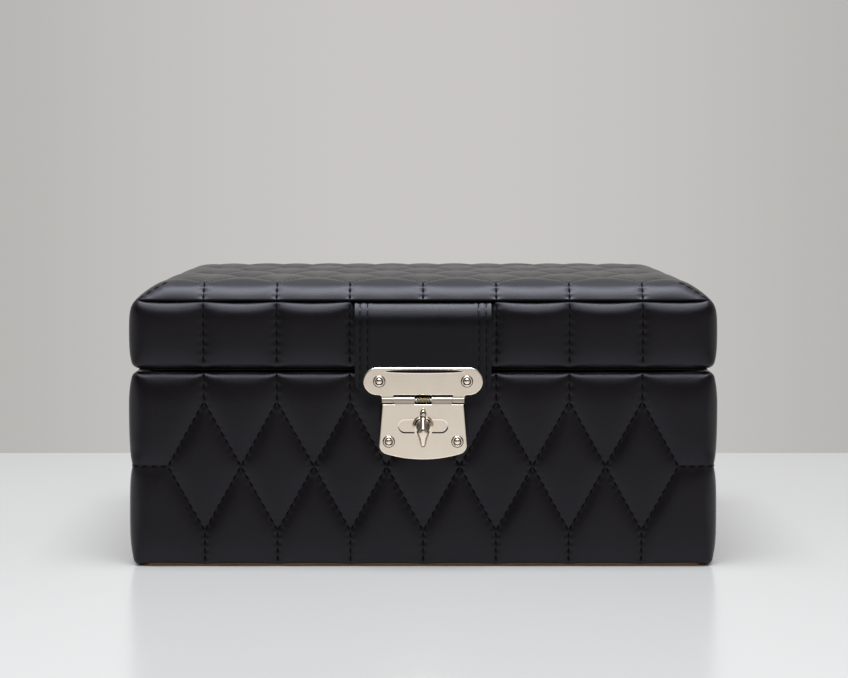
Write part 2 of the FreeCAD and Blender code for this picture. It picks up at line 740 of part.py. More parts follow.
def make_hinge_screws():
    for label, height, way in (
        ("hinge_screws_lower", LOWER_LEAF_TOP, DOWN),
        ("hinge_screws_upper", UPPER_LEAF_FOOT, UP),
    ):
        piece(group([wood_screw(at, way) for at in hinge_screw_places(height)]), label)


def rivet(x, z, shank):
    """A domed rivet through a plate, from its head's seat inwards."""
    head = plain_cone(
        "rivet_head_radius",
        "rivet_head_radius / 2",
        "rivet_head_rise",
        (x, "-plate_front", z),
        OUTWARD,
    )
    body = plain_rod("rivet_radius", shank, (x, "-plate_front", z), INWARD)
    return fused([head, body])


def add_necks(solid, ranges, height):
    """Tongues that join a plate to its pieces of the hasp hinge's barrel."""
    for low, high in ranges:
        solid.box((low, high), ("-plate_front", "-flap_out"), height)


def add_barrel(solid, ranges):
    """Pieces of the hasp hinge's barrel, bored for the pin."""
    for low, high in ranges:
        solid.rod(
            "hasp_barrel_radius",
            f"({high}) - ({low})",
            (low, "-hasp_axis_y", "hasp_axis_height"),
            SIDEWAYS,
        )
    solid.hole(
        "hasp_pin_radius + running_gap",
        "2 * hasp_barrel_half",
        ("-hasp_barrel_half", "-hasp_axis_y", "hasp_axis_height"),
        SIDEWAYS,
    )


def make_latch():
    """The plate on the flap, with its rivets, hinge pin and spring."""
    plate = Solid("latch_plate")
    sketch = plate.sketch("XZ_Plane", "plate_middle", "flap_out")
    draw_stadium(sketch, "plate_width", "plate_height")
    plate.pad(sketch, "plate_thick")
    outer = [
        ("-hasp_barrel_half", "latch_knuckle - hasp_barrel_half"),
        ("hasp_barrel_half - latch_knuckle", "hasp_barrel_half"),
    ]
    add_necks(plate, outer, ("hasp_axis_height", "plate_middle - plate_height / 4"))
    plate_foot = SIZES["plate_middle"] - SIZES["plate_height"] / 2
    side = SIZES["hasp_barrel_half"]
    plate.soften(
        "shoulder_radius",
        lambda edge: runs_along(edge, Vector(0, 1, 0))
        and at_height(edge, plate_foot)
        and abs(abs(edge.CenterOfMass.x) - side) < TOUCH,
    )
    plate.soften("plate_round", plate.in_front())
    add_barrel(plate, outer)
    for side in (-1, 1):
        plate.hole(
            "rivet_radius + running_gap",
            "plate_front",
            (f"{side} * rivet_spread", 0, "plate_middle"),
            OUTWARD,
        )
    rivets = [
        rivet(f"{side} * rivet_spread", "plate_middle", "plate_front - flap_in")
        for side in (-1, 1)
    ]
    piece(group(rivets), "latch_rivets")
    pin = plain_rod(
        "hasp_pin_radius",
        "2 * hasp_barrel_half",
        ("-hasp_barrel_half", "-hasp_axis_y", "hasp_axis_height"),
        SIDEWAYS,
    )
    piece(pin, "hasp_pin")


def make_spring():
    """The coil round the hasp pin, between the two inner knuckles."""
    length = SIZES["spring_turns"] * SIZES["spring_pitch"]
    radius = SIZES["spring_coil_radius"]
    helix = Part.makeHelix(SIZES["spring_pitch"], length, radius)
    wire = Part.Circle(Vector(radius, 0, 0), Vector(0, 1, 0), SIZES["spring_wire"] / 2)
    coil = Part.Wire(helix).makePipeShell([Part.Wire(wire.toShape())], True, True)
    spring = doc.addObject("Part::Feature", "spring")
    spring.Shape = coil
    place(spring, (-length / 2, "-hasp_axis_y", "hasp_axis_height"), SIDEWAYS)
    piece(spring, "hasp_spring")


def make_hasp():
    """The swinging plate, its back plate and rivets, and the oval boss round the knob."""
    plate = Solid("hasp_plate")
    sketch = plate.sketch("XZ_Plane", 0, "flap_out")
    draw_hasp(sketch)
    plate.pad(sketch, "plate_thick")
    foot_z = SIZES["hasp_foot"]
    plate.soften(
        "hasp_corner",
        lambda edge: runs_along(edge, Vector(0, 1, 0)) and abs(edge.CenterOfMass.z - foot_z) < TOUCH,
    )
    plate.soften("plate_round", plate.in_front())
    inner_end = "hasp_barrel_half - latch_knuckle - knuckle_gap"
    inner = [
        (f"-({inner_end})", f"hasp_knuckle - ({inner_end})"),
        (f"{inner_end} - hasp_knuckle", inner_end),
    ]
    add_necks(plate, inner, ("hasp_top - plate_thick", "hasp_axis_height"))
    add_barrel(plate, inner)

    back = Solid("hasp_back_plate")
    back.box(
        ("-back_plate_half", "back_plate_half"),
        ("-flap_out", "-back_plate_in"),
        ("hasp_foot + back_plate_margin", "hasp_top - back_plate_margin"),
    )
    back.soften("hasp_corner", lambda edge: runs_along(edge, Vector(0, 1, 0)))

    boss = Solid("knob_boss")
    sketch = boss.sketch("XZ_Plane", "knob_height", "plate_front")
    draw_stadium(sketch, "boss_length", "boss_height")
    boss.pad(sketch, "boss_rise")
    boss.rod("boss_ring_radius", "boss_rise", (0, "-plate_front", "knob_height"), OUTWARD)

    for solid in (plate, back, boss):
        solid.hole(
            "spindle_radius + running_gap", "plate_front + boss_rise", (0, 0, "knob_height"), OUTWARD
        )
    for solid in (plate, back):
        for side in (-1, 1):
            solid.hole(
                "rivet_radius + running_gap",
                "plate_front",
                (f"{side} * hasp_rivet_spread", 0, "hasp_rivet_height"),
                OUTWARD,
            )
    rivets = [
        rivet(f"{side} * hasp_rivet_spread", "hasp_rivet_height", "plate_front - back_plate_in")
        for side in (-1, 1)
    ]
    piece(group(rivets), "hasp_rivets")


def make_knob():
    """The turn knob: collar and upright fin, spindle with its cross foot, and washer."""
    knob = Solid("turn_knob")
    axis = "knob_height"
    knob.rod("collar_radius", "collar_thick", (0, "-collar_back", axis), OUTWARD)
    knob.soften("collar_thick / 2", knob.in_front())
    knob.rod("hub_radius", "collar_thick + fin_rise / 2", (0, "-collar_back", axis), OUTWARD)
    knob.box(
        ("-fin_thick / 2", "fin_thick / 2"),
        ("-(collar_front + fin_rise)", "-(collar_front - fin_sink)"),
        (f"{axis} - fin_length / 2", f"{axis} + fin_length / 2"),
    )
    tips = [SIZES["knob_height"] + side * SIZES["fin_length"] / 2 for side in (-1, 1)]
    knob.soften(
        "fin_tip_radius",
        lambda edge: runs_along(edge, Vector(0, 1, 0)) and any(at_height(edge, z) for z in tips),
    )

    spindle = Solid("knob_spindle")
    spindle.rod("spindle_radius", "collar_back - foot_front", (0, "-collar_back", axis), INWARD)
    spindle.box(
        ("-foot_width / 2", "foot_width / 2"),
        ("-foot_front", "foot_thick - foot_front"),
        (f"{axis} - foot_length / 2", f"{axis} + foot_length / 2"),
    )

    seat = (0, "knob_gap - back_plate_in", axis)
    disc = plain_rod("washer_radius", "washer_thick", seat, INWARD)
    bore = plain_rod("spindle_radius + running_gap", "washer_thick", seat, INWARD)
    piece(cut(disc, [bore]), "knob_washer")


def make_keeper():
    """The slotted plate on the base that the knob's cross foot turns behind."""
    keeper = Solid("keeper_plate")
    keeper.box(
        ("-keeper_width / 2", "keeper_width / 2"),
        ("-keeper_front", "-base_y"),
        ("knob_height - keeper_height / 2", "knob_height + keeper_height / 2"),
    )
    keeper.soften("hem_radius", lambda edge: runs_along(edge, Vector(0, 1, 0)))
    half = "(keeper_slot_length - keeper_slot_height) / 2"
    keeper.box(
        (f"-{half}", half),
        ("-keeper_front", "-base_y"),
        ("knob_height - keeper_slot_height / 2", "knob_height + keeper_slot_height / 2"),
        kind="SubtractiveBox",
    )
    for side in (-1, 1):
        end = (f"{side} * {half}", "-keeper_front", "knob_height")
        keeper.hole("keeper_slot_height / 2", "keeper_thick", end, INWARD)
    for at in keeper_screw_places():
        seat = keeper.feature("SubtractiveCone")
        bind(
            seat,
            Radius1="screw_head_radius + running_gap",
            Radius2="screw_radius + running_gap",
            Height="keeper_thick",
        )
        place(seat, at, INWARD)
    piece(group([wood_screw(at, INWARD) for at in keeper_screw_places()]), "keeper_screws")


def check_document():
    """Stops if an object failed or a sub-part is empty or broken."""
    doc.recompute()
    for item in doc.Objects:
        if "Invalid" in item.State or "Error" in item.State:
            raise RuntimeError(f"{item.Label} failed: {item.State}")
    for item in pieces:
        if item.Shape.isNull() or not item.Shape.isValid() or not item.Shape.Solids:
            raise RuntimeError(f"{item.Label} has no sound solid")


def write_steps():
    os.makedirs("parts", exist_ok=True)
    for item in pieces:
        item.Shape.exportStep(f"parts/{item.Label}.step")
        box = item.Shape.BoundBox
        print(
            f"{item.Label:22s} solids {len(item.Shape.Solids)}  volume {item.Shape.Volume:10.1f}"
            f"  x {box.XMin:8.2f} {box.XMax:8.2f}  y {box.YMin:8.2f} {box.YMax:8.2f}"
            f"  z {box.ZMin:7.2f} {box.ZMax:7.2f}"
        )


def main():
    make_sheet()
    make_base_carcass()
    make_base_cover()
    make_base_lining()
    make_compartments()
    make_keeper()
    make_lid_carcass()
    make_lid_covers()
    make_lid_lining()
    make_flap()
    for name, side in (("left", -1), ("right", 1)):
        make_lid_hinge(name, side)
    make_hinge_screws()
    make_latch()
    make_spring()
    make_hasp()
    make_knob()
    check_document()
    write_steps()


main()
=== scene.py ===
"""Quilted leather jewellery case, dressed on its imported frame.

Pieces are drawn in millimetres and turned into metres when their mesh is made.
"""
import json
import math

import bmesh
import bpy
import numpy
from mathutils import Matrix, Vector


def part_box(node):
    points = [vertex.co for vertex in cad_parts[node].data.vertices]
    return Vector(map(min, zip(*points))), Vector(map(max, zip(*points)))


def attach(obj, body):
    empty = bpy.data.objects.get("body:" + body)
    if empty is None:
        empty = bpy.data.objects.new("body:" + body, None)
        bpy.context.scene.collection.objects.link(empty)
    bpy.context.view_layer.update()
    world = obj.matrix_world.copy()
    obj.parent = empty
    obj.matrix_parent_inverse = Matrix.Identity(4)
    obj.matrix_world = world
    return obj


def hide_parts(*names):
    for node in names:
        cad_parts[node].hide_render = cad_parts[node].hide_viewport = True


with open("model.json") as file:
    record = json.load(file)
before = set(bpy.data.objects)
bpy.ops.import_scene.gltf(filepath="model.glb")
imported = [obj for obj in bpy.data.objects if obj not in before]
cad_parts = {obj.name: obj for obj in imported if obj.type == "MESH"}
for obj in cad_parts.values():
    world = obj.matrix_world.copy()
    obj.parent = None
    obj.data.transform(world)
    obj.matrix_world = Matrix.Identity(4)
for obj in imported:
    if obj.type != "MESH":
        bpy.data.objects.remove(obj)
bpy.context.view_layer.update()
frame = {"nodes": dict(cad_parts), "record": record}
TO_METRES = Matrix.Scale(0.001, 4)
SLOT_OF = {row["node"]: row["material_slot"] for row in frame["record"]["subparts"]}

# Quilting, in millimetres
COLUMN = 16.25
SIDE_COLUMN = 15.77
OUTER_CROSSING = 7
SIDE_CROSSING = 5
CROSSING_HEIGHT = 45.0
HALF_DIAMOND = 29.0
TOP_ROW = 28.6
TOP_ROWS = 3
STITCH = 3.9
GRID = 10
STITCH_SHARE, STITCH_FLAT = 0.36, 0.8
EDGE_STEPS, EDGE_TURN = 6, 13
ON_SEAM, ON_EDGE, TOUCHING = 0.02, 0.05, 0.01

# Leather before the foam swells it, in millimetres
WRAP_X, WRAP_Y = 130.1, 93.5
WRAP_FOOT, WRAP_TOP = 0.75, 87.2
BAND_X, BAND_Y = 130.0, 94.0
BAND_FOOT, BAND_TOP = 88.9, 121.4
CORNER, CORNER_STEPS = 4.5, 8
RIM = 2.2
FOOT_RIM = 1.2
BAND_SHOULDER = 7.0
BEHIND_X, BEHIND_Y = 124.0, 89.0
BORDER_X = OUTER_CROSSING * COLUMN
BORDER_Y = TOP_ROWS * TOP_ROW
PAD_X, PAD_Y = 128.2, 93.0
PAD_FOOT = 119.2
BORDER_HEIGHT = 126.8
BORDER_SWELL = 0.7
BORDER_STEPS = 8
BORDER_ROUND = 2.6
BORDER_TIGHT = 0.7
BORDER_LEAN, CORNER_LEAN, BORDER_RISE = 0.6, 0.4, 0.8
DOME = 0.3
PAD_UNDERSIDE = 0.985
PUFF = 2.0
WRAP_PUFF = 2.3
PAD_PUFF = 2.6
TIGHT_FROM, TIGHT_TO = 74.0, 86.0
TIGHT_SHARE = 0.55
WRAP_HEIGHTS = (0.3, 87.9)
BAND_HEIGHTS = (88.3, 122.2)
UNDER_HASP = {"half_width": 15.5, "low": 55.0, "high": 73.0, "limit": 94.7, "fade": 6.0}
UNDER_FLAP = {"half_width": 30.0, "low": 76.0, "high": 90.0, "limit": 94.9, "fade": 5.0}

# How the foam swells the leather
PRESSURE = 150.0
WRAP_PRESSURE = 1.35 * PRESSURE
CLOTH_FRAMES = 8
CLOTH = {
    "vertex_group_mass": "held", "quality": 3, "mass": 0.3, "tension_stiffness": 0.2,
    "compression_stiffness": 0.2, "shear_stiffness": 0.1, "bending_stiffness": 0.05,
    "use_pressure": True,
}

# Flap, in millimetres
FLAP_HALF = 30.25
FLAP_BEND_Y, FLAP_BEND_Z = -83.15, 107.4
FLAP_OUT = 14.0
FLAP_FOOT = 77.2
FLAP_THICK = 2.0
FLAP_CORNER = 7.0
FLAP_ROWS = (2.3, 5.6)
FLAP_SWEEP = math.radians(70)
FLAP_EDGE = 0.5
BEND_STEPS, DROP_STEPS, ACROSS_STEPS = 12, 24, 110
ROW_WIDTH, ROW_DEPTH, ROW_STEPS = 0.7, 0.28, 40
HEM_INSET, HEM_FADE, HEM_LIFT = 8.5, 2.0, 0.25
TUCK_GAP = 0.15
TUCK_INSET, TUCK_FADE = 0.5, 1.7

# Studio: the table in millimetres, the lamps and the camera in metres
TABLE_BACK, TABLE_FRONT = 296.0, -5000.0
TABLE_HALF, TABLE_THICK = 4000.0, 20.0
TABLE_COLOURS = (0.725, 0.715, 0.705, 1.0), (0.755, 0.745, 0.735, 1.0)
GREY_WALL = (0.585, 0.57, 0.555, 1.0)
GREY_WALL_SIDE = (0.475, 0.465, 0.45, 1.0)
WALL_FADE = 28.0
WALL_FROM = (-0.5, 0.1)
ROOM_LIGHT = (0.33, 0.315, 0.315, 1.0)
ROOM_DARK = (0.012, 0.012, 0.013, 1.0)
ROOM_MIDDLE = 0.32
ROOM_SIDES = (0.42, 0.6)
ROOM_HEIGHTS = (0.14, 0.34)
CEILING = (1.4, 1.46, 1.62, 1.0)
CEILING_FROM = (0.6, 0.85)
AMBIENT = (0.12, 0.12, 0.12, 1.0)
OVERHEAD_LAMP = {
    "place": (-0.03, -0.31, 1.75), "size": (1.3, 0.8), "power": 33.0, "colour": (0.93, 0.965, 1.0),
}
FRONT_LAMP = {
    "place": (0.0, -1.25, 1.75), "size": (1.8, 1.1), "power": 14.0, "colour": (0.98, 0.99, 1.0),
}
CAMERA_PLACE = (0.0004, -1.045, 0.1757)
CAMERA_TILT = 4.43
CAMERA_LENS = 91.3

# Lock, in millimetres
PLATE_FRONT = -98.75
LATCH_RIVETS = ((-19.4, 83.6), (19.4, 83.6))
HASP_RIVETS = ((-15.2, 56.8), (15.2, 56.8))
RIVET_PROFILE = (
    (0.0, -0.6), (2.7, -0.6), (2.75, 0.04), (2.7, 0.06), (2.36, 0.08), (2.3, 0.3), (2.15, 0.42),
    (1.95, 0.42), (1.78, 0.3), (1.7, 0.12), (1.52, 0.1), (1.36, 0.12), (1.3, 0.36), (1.1, 0.6),
    (0.7, 0.78), (0.35, 0.84), (0.0, 0.85),
)
RIVET_GROOVES = ((1.33, 1.74), (2.33, 2.73))
# where the dark lens of painted shade and its gold lip lie on the latch plate
LENS_HEIGHT, LENS_RIGHT = 88.0, 0.5
DISH_HALF, DISH_FRONT, DISH_BACK = 3.3, 0.35, 0.3
DISH_STEPS = ((0.12, 0.0), (0.6, -0.18), (0.06, 0.0))
DISH_RING = (
    (0.0, 0.0), (4.75, 0.0), (4.8, 0.55), (4.7, 0.8), (4.5, 0.85), (4.3, 0.75), (0.0, 0.7),
)
KNOB_HEIGHT = 63.7
KNOB_FOOT = -99.45
COLLAR_PROFILE = (
    (0.0, 0.0), (4.2, 0.0), (4.3, 0.25), (4.25, 0.6), (3.95, 0.9), (3.5, 1.0), (3.2, 1.15),
    (2.9, 1.6), (2.3, 2.3), (1.6, 3.0), (0.0, 3.6),
)
DOME_GROOVE = (2.0, 3.0)
LEAF_OUT, LEAF_DROP, LEAF_HALF = 4.3, 0.8, 8.2
LEAF_EDGE, LEAF_SWELL = 1.3, 2.0
LEAF_ROOT, LEAF_TAPER, LEAF_THIN, LEAF_TIP = 3.3, 4.1, 0.5, 0.12
LEAF_WIDTHS = (
    (-1.0, 0.35), (-0.93, 0.95), (-0.75, 1.4), (-0.5, 1.85), (-0.3, 2.5), (-0.16, 2.9),
    (-0.05, 2.4), (0.1, 1.6), (0.3, 1.3), (0.55, 1.45), (0.75, 1.4), (0.93, 0.9), (1.0, 0.3),
)

# Gold, and the painted shade laid on it, with the height of the rolled knuckles in metres
GOLD, MARKED_GOLD = (0.97, 0.866, 0.73, 1.0), (0.94, 0.825, 0.68, 1.0)
# painted shade over the rolled knuckles, toning down their highlight
KNUCKLE_SHADE_GOLD = (0.46, 0.40, 0.33, 1.0)
# painted shade: near-black brown laid into the grooves and down the knob leaf's flanks
GROOVE_PAINTED_SHADE = (0.07, 0.05, 0.035, 1.0)
KNUCKLES = (0.0736, 0.0767)
KNUCKLE_FADE = 0.0002
PAINTED_SHADE_ROUGH, DULL_ROUGH = 0.5, 0.36
# how dark the painted shade is down the leaf's flanks and in the dome's groove
FLANK_PAINTED_SHADE, DOME_PAINTED_SHADE = 0.8, 0.9
FLANK_FROM, FLANK_RUN, LEAF_REACH = 0.55, 0.35, 1.02

# Leather's look
LEATHER_SHEEN = (0.88, 0.87, 1.0, 1.0)
SEAM_SHADE = (0.002, 0.002, 0.002, 1.0)
GRAIN_HEIGHT, PULL_HEIGHT = 0.12, 0.34

# Inside, in millimetres
RIM_X, RIM_Y = 126.4, 91.4
TURN_X, TURN_Y = 118.1, 83.1
LIP_X, LIP_Y = 117.2, 82.2
MIRROR_X, MIRROR_Y = 116.0, 81.0
ROLL_MIDDLE = 55
ROLL_SAG, ROLL_WAVE, ROLL_RATE = 0.5, 0.12, 0.31


# Small helpers

def is_vert(item):
    """True for a point of a shape."""
    return isinstance(item, bmesh.types.BMVert)


def is_edge(item):
    """True for an edge of a shape."""
    return isinstance(item, bmesh.types.BMEdge)


def near_even(value):
    """True close to an even number."""
    return abs((value + 1) % 2 - 1) < ON_SEAM


def near_odd(value):
    """True close to an odd number."""
    return abs(value % 2 - 1) < ON_SEAM


def ease(value):
    """Smooth step from 0 to 1."""
    value = min(max(value, 0.0), 1.0)
    return value * value * (3 - 2 * value)


def block(low, high):
    """A cube drawn between two corners."""
    bm = bmesh.new()
    bmesh.ops.create_cube(bm, size=1.0)
    low, high = Vector(low), Vector(high)
    bmesh.ops.scale(bm, vec=high - low, verts=bm.verts)
    bmesh.ops.translate(bm, vec=(low + high) / 2, verts=bm.verts)
    return bm


def node_block(node):
    """A cube over a CAD node's box, in millimetres."""
    low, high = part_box(node)
    return block(low * 1000, high * 1000)


def round_edges(bm, edges, radius, segments):
    """Rounds the chosen edges."""
    bmesh.ops.bevel(
        bm, geom=list(edges), offset=radius, offset_type="OFFSET", segments=segments,
        profile=0.5, affect="EDGES", material=-1,
    )


def along(edge, axis):
    """How long an edge is if it runs along one axis, or 0."""
    run = edge.verts[1].co - edge.verts[0].co
    rest = [abs(run[i]) for i in range(3) if i != axis]
    return abs(run[axis]) if max(rest) < TOUCHING else 0.0


def split_runs(bm, axis, shortest, longest, cuts):
    """Cuts the edges along an axis whose length is in a range, and the faces between them."""
    chosen = [e for e in bm.edges if shortest < along(e, axis) < longest]
    if chosen:
        bmesh.ops.subdivide_edges(bm, edges=chosen, cuts=cuts, use_grid_fill=True)


def slice_at(bm, point, normal):
    """Cuts the faces where a plane crosses them."""
    geom = bm.verts[:] + bm.edges[:] + bm.faces[:]
    bmesh.ops.bisect_plane(bm, geom=geom, plane_co=point, plane_no=normal, dist=0.001)


def turned(profile, place, axis, steps=40):
    """A shape spun from (radius, height) points, standing at a place along an axis."""
    bm = bmesh.new()
    chain = [bm.verts.new((radius, 0, height)) for radius, height in profile]
    edges = [bm.edges.new(pair) for pair in zip(chain, chain[1:])]
    bmesh.ops.spin(
        bm, geom=chain + edges, cent=(0, 0, 0), axis=(0, 0, 1), angle=math.tau,
        steps=steps, use_merge=True,
    )
    bmesh.ops.remove_doubles(bm, verts=bm.verts, dist=0.001)
    bmesh.ops.recalc_face_normals(bm, faces=bm.faces)
    turn = Vector(axis).to_track_quat("Z", "Y").to_matrix().to_4x4()
    bm.transform(Matrix.Translation(place) @ turn)
    return bm


def extrude_rim(bm):
    """Grows new points and edges from every open edge."""
    rim = [e for e in bm.edges if e.is_boundary]
    return bmesh.ops.extrude_edge_only(bm, edges=rim)["geom"]


def mesh_of(bm, name):
    """A drawn shape as a mesh."""
    mesh = bpy.data.meshes.new(name)
    bm.to_mesh(mesh)
    return mesh


def put(name, data):
    """A new object in the scene."""
    thing = bpy.data.objects.new(name, data)
    bpy.context.scene.collection.objects.link(thing)
    return thing


def changed_mesh(thing):
    """The mesh of an object after its modifiers."""
    return thing.evaluated_get(bpy.context.evaluated_depsgraph_get()).to_mesh()


def join(parts):
    """Several shapes as one."""
    whole = parts[0]
    for part in parts[1:]:
        mesh = mesh_of(part, "join")
        part.free()
        whole.from_mesh(mesh)
        bpy.data.meshes.remove(mesh)
    return whole


def make_piece(name, bm, material, body, nodes=(), slot=None, sharp=None, fill=None, flat=False):
    """Turns a drawn shape into a piece of the case, in metres, riding on a body."""
    bm.transform(TO_METRES)
    mesh = mesh_of(bm, name)
    bm.free()
    mesh.shade_smooth()
    if sharp:
        mesh.set_sharp_from_angle(angle=math.radians(sharp))
    piece = put(name, mesh)
    mesh.materials.append(material)
    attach(piece, body)
    if nodes:
        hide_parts(*nodes)
    slot or SLOT_OF[nodes[0]]
    if flat:
        piece.modifiers.new("flat faces", "WEIGHTED_NORMAL")
    return piece


# Finishes

class Finish:
    """A node material and the few calls that build it."""

    def __init__(self, name):
        self.material = bpy.data.materials.new(name)
        self.material.use_nodes = True
        self.tree = self.material.node_tree
        self.shader = self.tree.nodes["Principled BSDF"]

    def add(self, kind, inputs=(), **settings):
        return add_node(self.tree, kind, inputs, **settings)

    def set(self, **values):
        for name, value in values.items():
            self.shader.inputs[name.replace("_", " ")].default_value = value

    def feed(self, output, name):
        self.tree.links.new(output, self.shader.inputs[name])

    def tint(self, factor, first, second):
        self.feed(two_colours(self.tree, factor, first, second), "Base Color")

    def cloud(self, scale, detail, rough):
        return noise(self.tree, place_on(self.tree), scale, detail, rough)

    def bump(self, height, strength, depth):
        bump = self.add("ShaderNodeBump", {"Height": height})
        bump.inputs["Strength"].default_value = strength
        bump.inputs["Distance"].default_value = depth
        self.feed(bump.outputs["Normal"], "Normal")

    def group(self, tree, **values):
        node = self.add("ShaderNodeGroup")
        node.node_tree = tree
        for name, value in values.items():
            node.inputs[name.replace("_", " ")].default_value = value
        return node


def add_node(tree, kind, inputs=(), **settings):
    """A node with its settings made and its inputs set or linked."""
    node = tree.nodes.new(kind)
    for name, value in settings.items():
        setattr(node, name, value)
    for name, value in dict(inputs).items():
        if isinstance(value, bpy.types.NodeSocket):
            tree.links.new(value, node.inputs[name])
        else:
            node.inputs[name].default_value = value
    return node


def maths(tree, operation, first, second=0.0, third=0.0):
    """What a sum gives, as a node's output."""
    inputs = {0: first, 1: second, 2: third}
    return add_node(tree, "ShaderNodeMath", inputs, operation=operation).outputs[0]


def new_group(name, inputs, outputs):
    """A node group with named inputs and outputs."""
    tree = bpy.data.node_groups.new(name, "ShaderNodeTree")
    for label, value in inputs.items():
        kind = "NodeSocketColor" if isinstance(value, tuple) else "NodeSocketFloat"
        socket = tree.interface.new_socket(label, in_out="INPUT", socket_type=kind)
        socket.default_value = value
    for label in outputs:
        kind = "NodeSocketColor" if label == "Colour" else "NodeSocketFloat"
        tree.interface.new_socket(label, in_out="OUTPUT", socket_type=kind)
    return tree, tree.nodes.new("NodeGroupInput"), tree.nodes.new("NodeGroupOutput")


def give(tree, out, **values):
    """Links what a node group gives out."""
    for name, value in values.items():
        tree.links.new(value, out.inputs[name])


def place_on(tree):
    """Where a point is on its piece."""
    return add_node(tree, "ShaderNodeTexCoord").outputs["Object"]


def noise(tree, vector, scale, detail=3.0, rough=0.55):
    """Soft random values over a place."""
    inputs = {"Vector": vector, "Scale": scale, "Detail": detail, "Roughness": rough}
    return add_node(tree, "ShaderNodeTexNoise", inputs).outputs["Fac"]


def spread(tree, value, low, high, to_low=0.0, to_high=1.0):
    """A value carried from one range to another."""
    inputs = {
        "Value": value, "From Min": low, "From Max": high, "To Min": to_low, "To Max": to_high,
    }
    return add_node(tree, "ShaderNodeMapRange", inputs).outputs["Result"]


def two_colours(tree, factor, first, second):
    """A mix of two colours."""
    mix = add_node(tree, "ShaderNodeMix", data_type="RGBA")
    for socket, value in ((mix.inputs[0], factor), (mix.inputs[6], first), (mix.inputs[7], second)):
        if isinstance(value, bpy.types.NodeSocket):
            tree.links.new(value, socket)
        else:
            socket.default_value = value
    return mix.outputs[2]


def leather_grain_group():
    """Fine pores, soft creases and a little unevenness of the dye."""
    tree, given, out = new_group(
        "leather grain", {"Pore scale": 1300.0, "Crease scale": 220.0}, ["Height", "Uneven"]
    )
    where = place_on(tree)
    wobble = add_node(tree, "ShaderNodeTexNoise", {"Vector": where, "Scale": 400.0, "Detail": 2.0})
    bent = add_node(
        tree, "ShaderNodeVectorMath",
        {0: wobble.outputs["Color"], 1: (0.0012, 0.0012, 0.0012), 2: where},
        operation="MULTIPLY_ADD",
    ).outputs[0]
    pores = add_node(
        tree, "ShaderNodeTexVoronoi", {"Vector": bent, "Scale": given.outputs["Pore scale"]},
        feature="DISTANCE_TO_EDGE",
    ).outputs["Distance"]
    cells = spread(tree, pores, 0.0, 0.22)
    creases = noise(tree, where, given.outputs["Crease scale"], detail=4.0, rough=0.6)
    height = maths(tree, "MULTIPLY_ADD", cells, 0.35, creases)
    uneven = noise(tree, where, scale=34.0, detail=4.0, rough=0.6)
    give(tree, out, Height=height, Uneven=spread(tree, uneven, 0.3, 0.7))
    return tree


def seam_pull_group():
    """How the thread draws the leather in, from the distance to a seam and along it."""
    tree, given, out = new_group(
        "seam pull", {"Reach": 1.9, "Crease": 0.5, "Pinch": 0.25}, ["Height", "Seam"]
    )
    gap = add_node(tree, "ShaderNodeAttribute", attribute_name="seam_gap").outputs["Fac"]
    run = add_node(tree, "ShaderNodeAttribute", attribute_name="stitch_run").outputs["Fac"]
    wave = maths(tree, "COSINE", maths(tree, "MULTIPLY", run, math.tau))
    share = maths(tree, "DIVIDE", gap, given.outputs["Reach"])
    squared = maths(tree, "POWER", share, 2.0)
    fade = maths(tree, "POWER", 2.718, maths(tree, "MULTIPLY", squared, -1.0))
    where = place_on(tree)
    patchy = noise(tree, where, scale=110.0, detail=2.0)
    uneven = spread(tree, patchy, 0.35, 0.65, to_low=0.35, to_high=1.15)
    near = maths(tree, "MULTIPLY", maths(tree, "MULTIPLY", wave, uneven), fade)
    line = spread(tree, gap, 0.0, 0.5)
    height = maths(tree, "MULTIPLY_ADD", line, given.outputs["Crease"], near)
    pinched = maths(tree, "MULTIPLY_ADD", wave, given.outputs["Pinch"], gap)
    give(tree, out, Height=height, Seam=spread(tree, pinched, 0.1, 0.75, to_low=1.0, to_high=0.0))
    return tree


def nap_group():
    """Short nap of suede, brushed in patches."""
    tree, given, out = new_group(
        "suede nap", {"Dark": (0.3, 0.2, 0.1, 1.0), "Light": (0.4, 0.3, 0.2, 1.0)},
        ["Colour", "Height"],
    )
    where = place_on(tree)
    fibre = noise(tree, where, scale=2600.0, detail=2.0, rough=0.7)
    brushed = noise(tree, where, scale=60.0, detail=4.0, rough=0.6)
    patch = maths(tree, "MULTIPLY_ADD", fibre, 0.55, maths(tree, "MULTIPLY", brushed, 0.6))
    shade = spread(tree, patch, 0.38, 0.78)
    colour = two_colours(tree, shade, given.outputs["Dark"], given.outputs["Light"])
    give(tree, out, Colour=colour, Height=fibre)
    return tree


def handling_group():
    """Fine scratches and finger marks on plated metal."""
    tree, given, out = new_group(
        "handling marks", {"Smooth": 0.12, "Worn": 0.24}, ["Roughness", "Height", "Mark"]
    )
    where = place_on(tree)
    squeeze = add_node(tree, "ShaderNodeMapping", {"Vector": where, "Scale": (60.0, 900.0, 2600.0)})
    lines = noise(tree, squeeze.outputs["Vector"], scale=1.0, detail=3.0, rough=0.6)
    marks = noise(tree, where, scale=150.0, detail=4.0, rough=0.6)
    mark = spread(tree, marks, 0.38, 0.72)
    rough = spread(tree, mark, 0.0, 1.0, given.outputs["Smooth"], given.outputs["Worn"])
    give(tree, out, Roughness=rough, Height=lines, Mark=mark)
    return tree


GRAIN = leather_grain_group()
SEAM_PULL = seam_pull_group()
NAP = nap_group()
HANDLING = handling_group()


